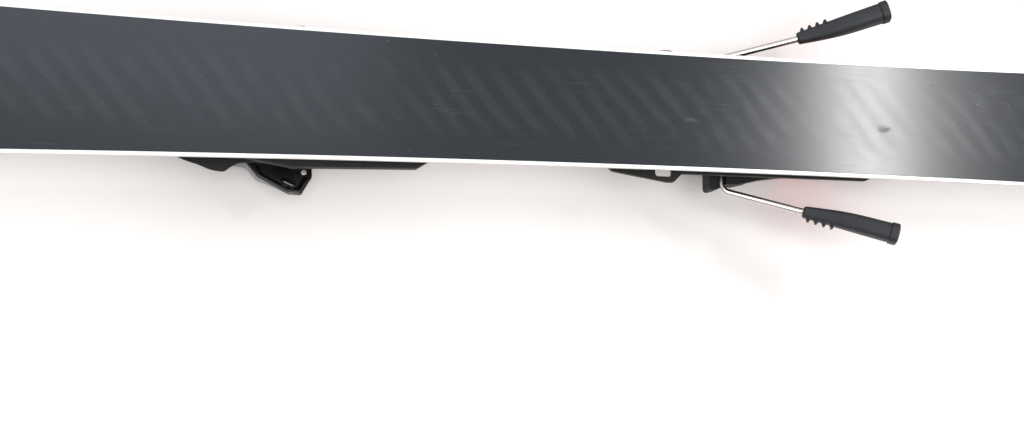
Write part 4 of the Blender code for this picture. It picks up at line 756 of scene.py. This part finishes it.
# %% Heel lever
LEVER_OUTLINE = (
    (259.5, 77.8, 1.05), (265, 78.8, 5), (280, 76, 10), (296, 70, 8), (308, 66, 5), (312, 68.5, 1.1),
    (314, 66.5, 1.1), (311.5, 60.5, 1.5), (300, 61, 6), (286, 67.5, 8), (270, 72.5, 5),
    (259.5, 74.3, 1.05),
)
HUB_OUTLINE = (
    (LEVER_X - 4, 76, 0.2), (LEVER_X - 4, LEVER_Z - 4, 3.9), (LEVER_X + 4, LEVER_Z - 4, 3.9),
    (LEVER_X + 4, 76, 0.2),
)
LEVER_RIM, HUB_RIM, HUB_HALF = 1.0 * MM, 0.15 * MM, 12 * MM


def lever_half(x, z):
    """15.5 mm, 3 mm more from x = 255 to 285 mm, and 2.5 mm less from 300 to 316 mm."""
    return (15.5 + 3 * ease((x / MM - 255) / 30) - 2.5 * ease((x / MM - 300) / 16)) * MM


lever = put_grid("pole_lever", slab_grid(LEVER_OUTLINE, LEVER_RIM, 4, lever_half), "lever", ["heel_lever"])
carve(lever, [slab_grid(HUB_OUTLINE, HUB_RIM, 2, lambda x, z: HUB_HALF + 0 * x)], "UNION")
carve(lever, [lever_hole(20), rod_cutter((302, 0, 65), (305, 0, 80), 6)])
print("lever faces:", len(lever.data.polygons))

# %% [markdown]
# The other moulded and pressed pieces already have the right shape, only their edges are too
# crisp. A copy of each is made, its loose triangles are merged and its flat faces joined, and a Bevel
# modifier rounds every edge by a fraction of a millimetre.

# %% Softened pieces


def softened(name, body, width):
    """A merged copy of a model piece with its edges rounded."""
    mesh = nodes[name].data.copy()
    work = bmesh.new()
    work.from_mesh(mesh)
    bmesh.ops.remove_doubles(work, verts=work.verts, dist=1e-6)
    bmesh.ops.dissolve_limit(work, angle_limit=math.radians(1), verts=work.verts, edges=work.edges)
    work.to_mesh(mesh)
    work.free()
    mesh.shade_smooth()
    mesh.set_sharp_from_angle(angle=math.radians(35))
    piece = put(f"{name}_soft", mesh, body, [name])
    step = piece.modifiers.new("round_edges", "BEVEL")
    step.width, step.segments, step.limit_method, step.angle_limit = width, 3, "ANGLE", math.radians(35)
    step.harden_normals = True
    return piece


SOFT_PIECES = (
    ("toe_plate", "ski", 0.6), ("glide_plate", "glide", 0.4), ("heel_rail", "ski", 0.35),
    ("heel_slider", "heel_carriage", 0.4), ("heel_latch", "latch", 0.3), ("heel_cup", "heel_piece", 0.5),
    ("brake_block", "heel_carriage", 0.5), ("brake_pedal", "brake", 0.5),
)
soft = {name: softened(name, body, width * MM) for name, body, width in SOFT_PIECES}
print("softened:", len(soft))

# %% [markdown]
# Now the finishes. Shader arithmetic reads best as plain expressions, so a small class wraps a
# socket and overloads the operators: `1 - mask * 0.3` adds the Math nodes for it. One more
# method adds any other node.

# %% Shader helper


class Wire:
    """An output socket with arithmetic."""

    def __init__(self, finish, socket):
        self.finish, self.socket = finish, socket

    __add__ = __radd__ = lambda self, other: self.finish.maths("ADD", self, other)
    __mul__ = __rmul__ = lambda self, other: self.finish.maths("MULTIPLY", self, other)
    __sub__ = lambda self, other: self.finish.maths("SUBTRACT", self, other)
    __rsub__ = lambda self, other: self.finish.maths("SUBTRACT", other, self)
    __truediv__ = lambda self, other: self.finish.maths("DIVIDE", self, other)


class Finish:
    """A Principled material while its nodes are laid out."""

    def __init__(self, name, **constants):
        self.material = bpy.data.materials.new(name)
        self.material.use_nodes = True
        self.tree = self.material.node_tree
        self.shader = self.tree.nodes["Principled BSDF"]
        for socket, value in constants.items():
            self.shader.inputs[socket.replace("_", " ")].default_value = value

    def node(self, kind, settings=None, inputs=None, output=0):
        """Adds a node, sets its options, fills or links its inputs, and gives one of its outputs."""
        made = self.tree.nodes.new(kind)
        for key, value in (settings or {}).items():
            setattr(made, key, value)
        for key, value in (inputs or {}).items():
            if isinstance(value, Wire):
                self.tree.links.new(value.socket, made.inputs[key])
            else:
                made.inputs[key].default_value = value
        return Wire(self, made.outputs[output])

    def maths(self, operation, *values):
        """One Math node on one or two values."""
        return self.node("ShaderNodeMath", {"operation": operation}, dict(enumerate(values)))

    def place(self, stretch=(1, 1, 1), turn=(0, 0, 0)):
        """Object coordinates in millimetres, stretched or turned."""
        here = self.node("ShaderNodeTexCoord", output="Object")
        scale = tuple(share / MM for share in stretch)
        return self.node("ShaderNodeMapping", None, {"Vector": here, "Rotation": turn, "Scale": scale})

    def axis(self, which, turn=(0, 0, 0)):
        """One of the object coordinates, 0 for x and 1 for y, in millimetres."""
        return self.node("ShaderNodeSeparateXYZ", None, {0: self.place(turn=turn)}, which)

    def noise(self, size, stretch=(1, 1, 1), detail=3.0, turn=(0, 0, 0)):
        """Noise whose lumps are about size millimetres wide, from 0 to 1."""
        place = self.place(stretch, turn)
        return self.node("ShaderNodeTexNoise", {"normalize": True},
                         {"Vector": place, "Scale": 1 / size, "Detail": detail, "Roughness": 0.55})

    def step(self, value, start, stop):
        """0 below start and 1 above stop, with a smooth way between."""
        settings = {"interpolation_type": "SMOOTHSTEP"}
        return self.node("ShaderNodeMapRange", settings,
                         {"Value": value, "From Min": start, "From Max": stop}, "Result")

    def mix(self, share, first, second):
        """A colour between two colours."""
        first, second = (c if isinstance(c, Wire) else (*c, 1) for c in (first, second))
        return self.node("ShaderNodeMix", {"data_type": "RGBA"}, {0: share, 6: first, 7: second}, 2)

    def scratches(self, spacing, length, cover=0.1, turn=0.0):
        """Thin lines: noise stretched along x, kept only where it is highest."""
        lines = self.noise(spacing, (spacing / length, 1, 1), 2.0, (0, 0, turn))
        edge = 0.72 - cover
        return self.step(lines, edge, edge + 0.06)

    def worn_edges(self, radius):
        """1 on sharp corners: where the normal rounded over a radius differs from the true one."""
        soft = self.node("ShaderNodeBevel", {"samples": 6}, {"Radius": radius})
        true = self.node("ShaderNodeNewGeometry", output="Normal")
        dot = self.node("ShaderNodeVectorMath", {"operation": "DOT_PRODUCT"}, {0: soft, 1: true}, "Value")
        return self.step(1 - dot, 0.01, 0.12)

    def bump(self, height, distance, radius=None):
        """A normal from a height in metres at most distance, over edges rounded by a radius."""
        inputs = {"Height": height, "Strength": 1.0, "Distance": distance}
        if radius:
            inputs["Normal"] = self.node("ShaderNodeBevel", {"samples": 6}, {"Radius": radius})
        return self.node("ShaderNodeBump", None, inputs)

    def set(self, **links):
        """Links the results to the shader's sockets and gives the finished material."""
        for socket, value in links.items():
            self.tree.links.new(value.socket, self.shader.inputs[socket.replace("_", " ")])
        return self.material


def wear(pieces, material):
    """Gives pieces, or model nodes by name, one material."""
    for piece in pieces:
        target = nodes[piece] if isinstance(piece, str) else piece
        target.data.materials.clear()
        target.data.materials.append(material)


# %% [markdown]
# The running base is black sintered plastic. A stone has ground fine lines into it, and it has
# a faint pattern of slanted bands, 12 mm apart and bent a little by slow noise. Use adds scratches
# along the ski, specks and a few smears of dried wax. The plastic itself is nearly black, and what
# one sees is mostly the room mirrored in it, so its roughness matters more than its colour.

# %% Running base finish


BAND_SPACING, BAND_TURN = 12.0, math.radians(-38)


def base_finish():
    """Bands as a sine of the slanted distance, faded out toward the edges and in patches."""
    f = Finish("ground_base", IOR=1.5)
    wobble = f.noise(60, detail=1)
    slant = f.axis(0, (0, 0, BAND_TURN))
    wave = f.maths("SINE", slant * (2 * math.pi / BAND_SPACING) + wobble * 5)
    inside = 1 - f.step(f.maths("ABSOLUTE", f.axis(1)), 12, 27)
    band = f.step(wave, -0.7, 0.9) * inside * f.step(f.noise(30), 0.3, 0.6)
    grind = f.noise(0.35, (0.02, 1, 1), 2)
    long_marks = f.scratches(0.8, 40, 0.08)
    short_marks = f.scratches(0.5, 6, 0.05)
    specks = f.step(f.noise(1.3, detail=1), 0.78, 0.82)
    smear = f.step(f.noise(14, (0.5, 1, 1), 4), 0.68, 0.78)
    colour = f.mix(band, (0.020, 0.028, 0.036), (0.029, 0.039, 0.048))
    colour = f.mix(long_marks * 0.25, colour, (0.06, 0.07, 0.08))
    colour = f.mix(short_marks * 0.3, colour, (0.09, 0.10, 0.11))
    colour = f.mix(specks * 0.5, colour, (0.25, 0.25, 0.24))
    colour = f.mix(smear * 0.4, colour, (0.012, 0.012, 0.014))
    rough = 0.175 + 0.02 * band + 0.03 * f.noise(8) + 0.12 * smear + 0.06 * long_marks
    height = grind * 0.5 + long_marks * -0.6 + short_marks * -0.8
    return f.set(Base_Color=colour, Roughness=rough, Normal=f.bump(height, 0.004 * MM))


ground_base = base_finish()
wear([base], ground_base)
print("running base finish:", len(ground_base.node_tree.nodes), "shader nodes")

# %% [markdown]
# Steel edges are ground along the ski, so the scratches run lengthwise. Small brown spots show
# where melt water has dried. Wires and zinc-plated screws use the same recipe without the spots.

# %% Metal finishes


def metal_finish(name, colour, rough, stretch, spot_colour=None, depth=0.004):
    """Fine lines in colour, roughness and height, under slow clouds; depth is in mm."""
    f = Finish(name, Metallic=1.0)
    lines = f.noise(0.25, stretch, 2)
    cloud = f.noise(6)
    mixed = f.mix(lines, tuple(0.82 * c for c in colour), colour)
    roughness = rough + 0.1 * lines + 0.08 * cloud
    if spot_colour:
        spots = f.step(f.noise(1.2, (0.4, 1, 1)), 0.68, 0.78)
        mixed = f.mix(spots * 0.6, mixed, spot_colour)
        roughness = roughness + 0.3 * spots
    return f.set(Base_Color=mixed, Roughness=roughness, Normal=f.bump(lines, depth * MM, 0.15 * MM))


edge_steel = metal_finish("edge_steel_ground", (0.90, 0.90, 0.89), 0.42, (0.02, 1, 1), (0.42, 0.25, 0.13))
wire_steel = metal_finish("wire_steel_drawn", (0.84, 0.82, 0.79), 0.14, (0.05, 1, 1))
zinc = metal_finish("zinc_plate", (0.72, 0.72, 0.68), 0.25, (1, 1, 1), None, 0.002)
wear([*edges, soft["heel_latch"]], edge_steel)
wear([wire, *springs, "toe_wing_pin_left", "toe_wing_pin_right", "toe_rod", "heel_pivot_pin",
      "heel_latch_pin", "heel_lever_pin"], wire_steel)
wear([*screws, *wing_screws, "toe_release_screw", "heel_release_screw", "heel_plunger"], zinc)
print("metals:", edge_steel.name, wire_steel.name, zinc.name)

# %% [markdown]
# The plastics come next. Moulded parts have a fine grain, a little dust in it, and corners
# rubbed shiny. The same recipe serves the black parts, the grips, the red heel and the pale ones,
# with other numbers.

# %% Plastic finishes


def moulded_finish(name, dark, light, rough, grain, depth, scuff, corner, shine):
    """Clouds between two colours, brighter scuffs and rubbed corners, and a fine bump."""
    f = Finish(name, Specular_IOR_Level=shine)
    fine = f.noise(grain, detail=2)
    cloud = f.noise(9, detail=4)
    rubbed = f.worn_edges(0.5 * MM)
    marks = f.step(f.noise(0.7, (0.25, 1, 1), 2, (0.4, 0.3, 0.7)), 0.66, 0.72)
    colour = f.mix(cloud, dark, light)
    brighter = tuple(min(1.0, c * 1.9 + 0.02) for c in light)
    colour = f.mix(rubbed * corner, colour, brighter)
    colour = f.mix(marks * scuff, colour, brighter)
    roughness = rough + 0.1 * (cloud - 0.5) - 0.12 * rubbed + 0.1 * marks
    return f.set(Base_Color=colour, Roughness=roughness, Normal=f.bump(fine, depth * MM, 0.35 * MM))


# finish: dark and light colour, roughness, size and depth of the grain in mm, share of scuffs and
# of rubbed corners, specular level
MOULDED = {
    "binding_plastic": ((0.012, 0.012, 0.011), (0.020, 0.020, 0.019), 0.55, 0.45, 0.012, 0.25, 0.35, 0.25),
    "wing_plastic": ((0.006, 0.006, 0.0065), (0.01, 0.01, 0.011), 0.17, 3.0, 0.003, 0.08, 0.1, 0.5),
    "grip_plastic": ((0.018, 0.022, 0.026), (0.031, 0.036, 0.042), 0.5, 0.5, 0.02, 0.3, 0.6, 0.4),
    "end_plastic": ((0.014, 0.014, 0.015), (0.026, 0.026, 0.028), 0.45, 0.4, 0.015, 0.4, 0.5, 0.5),
    "heel_plastic": ((0.56, 0.010, 0.010), (0.66, 0.017, 0.015), 0.28, 4.0, 0.004, 0.08, 0.12, 0.5),
    "sidewall_plastic": ((0.66, 0.66, 0.65), (0.78, 0.78, 0.77), 0.4, 0.6, 0.006, 0.05, 0.1, 0.5),
    "sliding_plastic": ((0.62, 0.62, 0.60), (0.74, 0.74, 0.72), 0.35, 0.6, 0.008, 0.1, 0.1, 0.5),
}
BLACK_PIECES = ("toe_plate", "heel_rail", "heel_slider", "heel_cup", "brake_block", "brake_pedal")
for name, record_slot, pieces in (
    ("binding_plastic", "binding_black",
     [toe_shell, lever, "glide_base", *[soft[piece] for piece in BLACK_PIECES]]),
    ("wing_plastic", "wing_black", wings),
    ("grip_plastic", "grip_black", grips),
    ("end_plastic", "end_plastic", [tip, tail]),
    ("heel_plastic", "heel_red", [heel_body]),
    ("sidewall_plastic", "sidewall_plastic", walls),
    ("sliding_plastic", "pad_white", [soft["glide_plate"], "wing_pad_left", "wing_pad_right"]),
):
    wear(pieces, moulded_finish(name, *MOULDED[name]))
    print(name, "on", len(pieces), "pieces")

# %% [markdown]
# The top of the ski is a pale film over glass fibre. Thin scratches from the other ski's edge
# run across it at all angles. The fibre laminates show only as thin lines along the sides, and the
# core is made of glued wood strips.

# %% Film, fibre, wood and window


def film_finish():
    """Three sets of scratches, each at its own angle, on a glossy pale film."""
    f = Finish("top_film", Coat_Weight=0.4, Coat_Roughness=0.1)
    cross = f.scratches(0.6, 25, 0.04, 0.9) + f.scratches(0.5, 18, 0.03, -0.7) + f.scratches(0.7, 60, 0.06)
    cloud = f.noise(30)
    colour = f.mix(cloud, (0.70, 0.71, 0.72), (0.78, 0.79, 0.80))
    colour = f.mix(cross * 0.35, colour, (0.5, 0.5, 0.5))
    return f.set(Base_Color=colour, Roughness=0.22 + 0.2 * cross + 0.06 * cloud,
                 Normal=f.bump(cross * -1.0 + f.noise(1.5) * 0.3, 0.01 * MM))


def fibre_finish():
    """Threads: noise drawn out twenty times along the ski."""
    f = Finish("glass_fibre", Roughness=0.5)
    threads = f.noise(0.3, (0.05, 1, 1), 2)
    return f.set(Base_Color=f.mix(threads, (0.30, 0.27, 0.17), (0.52, 0.49, 0.36)),
                 Normal=f.bump(threads, 0.02 * MM))


def wood_finish():
    """Strips 11 mm wide with a dark line of glue between them, and grain along the ski."""
    f = Finish("core_wood_strips", Roughness=0.6)
    strip = f.maths("FRACT", f.axis(1) / 11.0 + 100)
    glue = 1 - f.step(strip, 0.01, 0.04)
    grain = f.noise(1.2, (0.03, 1, 1), 4)
    colour = f.mix(grain, (0.34, 0.20, 0.09), (0.62, 0.44, 0.24))
    return f.set(Base_Color=f.mix(glue * 0.6, colour, (0.16, 0.09, 0.04)), Normal=f.bump(grain, 0.05 * MM))


def window_finish():
    """Clear plastic over a scale: a pale strip with dark ticks a millimetre apart."""
    f = Finish("scale_window", Coat_Weight=1.0)
    line = f.step(f.maths("FRACT", f.axis(0) + 1000), 0.72, 0.78)
    return f.set(Base_Color=f.mix(line * 0.8, (0.72, 0.72, 0.68), (0.05, 0.05, 0.05)),
                 Roughness=0.08 + 0.1 * f.noise(2))


wear([top], film_finish())
wear([lower_lam, upper_lam], fibre_finish())
wear(["wood_core"], wood_finish())
wear(["toe_scale_window", "heel_scale_window"], window_finish())
print("materials in the file:", len(bpy.data.materials))

# %% [markdown]
# Last, the stage: a white floor at the height the binding stands on, and a pale sky all round,
# which the camera sees as white, like a studio wall. The camera stands where the photographer's
# did: its place and axes were fitted to the ski's outline, binding and brake.

# %% Camera
# place in metres, then the rows of the rotation matrix
CAMERA = Vector((-0.0823077, -0.1661522, 0.7543649))
CAMERA_AXES = Matrix(((0.97977552, -0.03069961, -0.19773079), (0.00116615, 0.98902009, -0.1477765),
                      (0.20009641, 0.14455721, 0.96905348)))
camera_data = bpy.data.cameras.new("camera")
camera_data.sensor_width = 36
camera_data.lens = 45.22
camera_data.clip_start = 0.01
camera = add_object("camera", camera_data)
camera.matrix_world = Matrix.Translation(CAMERA) @ CAMERA_AXES.to_4x4()
bpy.context.scene.camera = camera
print("camera:", [round(v, 3) for v in CAMERA], "lens", camera_data.lens)

# %% Floor and world
FLOOR_HALF, FLOOR_HEIGHT = 25.0, -0.5 * MM
reach = np.linspace(-FLOOR_HALF, FLOOR_HALF, 9)
floor_grid = np.stack(np.meshgrid(reach, reach, FLOOR_HEIGHT, indexing="ij"), axis=-1)[:, :, 0]
floor = add_object("floor", mesh_from_grid("floor", floor_grid, wrap=False, ends=False))
paper = Finish("white_floor", Roughness=0.7)
tint = paper.noise(300, detail=2)
seen = paper.node("ShaderNodeLightPath")
plain = paper.mix(tint, (0.95, 0.945, 0.94), (0.97, 0.965, 0.96))
paper.set(Base_Color=paper.mix(seen, plain, (1.15, 1.14, 1.135)))
floor.data.materials.append(paper.material)

world = bpy.data.worlds.new("pale_room")
world.use_nodes = True
bpy.context.scene.world = world
background = world.node_tree.nodes["Background"]
background.inputs["Color"].default_value = (1.0, 0.90, 0.86, 1)
background.inputs["Strength"].default_value = 0.55
horizon = world.node_tree.nodes.new("ShaderNodeBackground")
horizon.inputs["Color"].default_value = (1.0, 0.985, 0.975, 1)
who_looks = world.node_tree.nodes.new("ShaderNodeLightPath")
choice = world.node_tree.nodes.new("ShaderNodeMixShader")
for source, target in ((who_looks.outputs["Is Camera Ray"], choice.inputs[0]),
                       (background.outputs[0], choice.inputs[1]), (horizon.outputs[0], choice.inputs[2]),
                       (choice.outputs[0], world.node_tree.nodes["World Output"].inputs["Surface"])):
    world.node_tree.links.new(source, target)
print("floor:", 2 * FLOOR_HALF, "m wide; sky strength", background.inputs["Strength"].default_value)

# %% [markdown]
# A broad soft sun overhead gives the light on the floor, and a large bluish card shows only in what
# mirrors it. One narrow lamp is mirrored in the glossy base as the pale gleam behind the heel, so its
# place follows from the camera's place and the law of reflection.

# %% Lamps
GLEAM_AT, GLEAM_DISTANCE = Vector((0.267, -0.004, 0.080)), 1.4
MIDDLE = Vector((0, 0, REST_HEIGHT))
toward_camera = (CAMERA - GLEAM_AT).normalized()
mirrored = Vector((-toward_camera.x, -toward_camera.y, toward_camera.z))


def lamp(name, place, target, power, size_x, size_y, colour=(1, 1, 1)):
    """An area lamp that shines on a target, with its second side along the world's y."""
    away = (place - target).normalized()
    side_x = Vector((0, 1, 0)).cross(away).normalized()
    data = bpy.data.lights.new(name, "AREA")
    data.shape = "RECTANGLE"
    data.size, data.size_y, data.energy = size_x, size_y, power
    data.color = colour
    made = add_object(name, data)
    axes = Matrix((side_x, away.cross(side_x), away)).transposed()
    made.matrix_world = Matrix.Translation(place) @ axes.to_4x4()
    return made


gleam_place = GLEAM_AT + mirrored * GLEAM_DISTANCE
lamp("gleam", gleam_place, GLEAM_AT, 5.2, 0.075, 0.45)
card = lamp("far_card", Vector((-1.0, 1.1, 2.0)), MIDDLE, 17.0, 3.0, 1.2, (0.80, 0.87, 1.0))
card.visible_diffuse = False
key_data = bpy.data.lights.new("overhead", "SUN")
key_data.energy, key_data.angle, key_data.color = 1.1, math.radians(26), (0.94, 0.98, 1.0)
key = add_object("overhead", key_data)
key.rotation_euler = Vector((0.0, -0.2, 1.0)).to_track_quat("Z", "Y").to_euler()
print("gleam lamp at", [round(v, 3) for v in gleam_place])

# %% Finish
bpy.context.scene.view_settings.view_transform = "Standard"
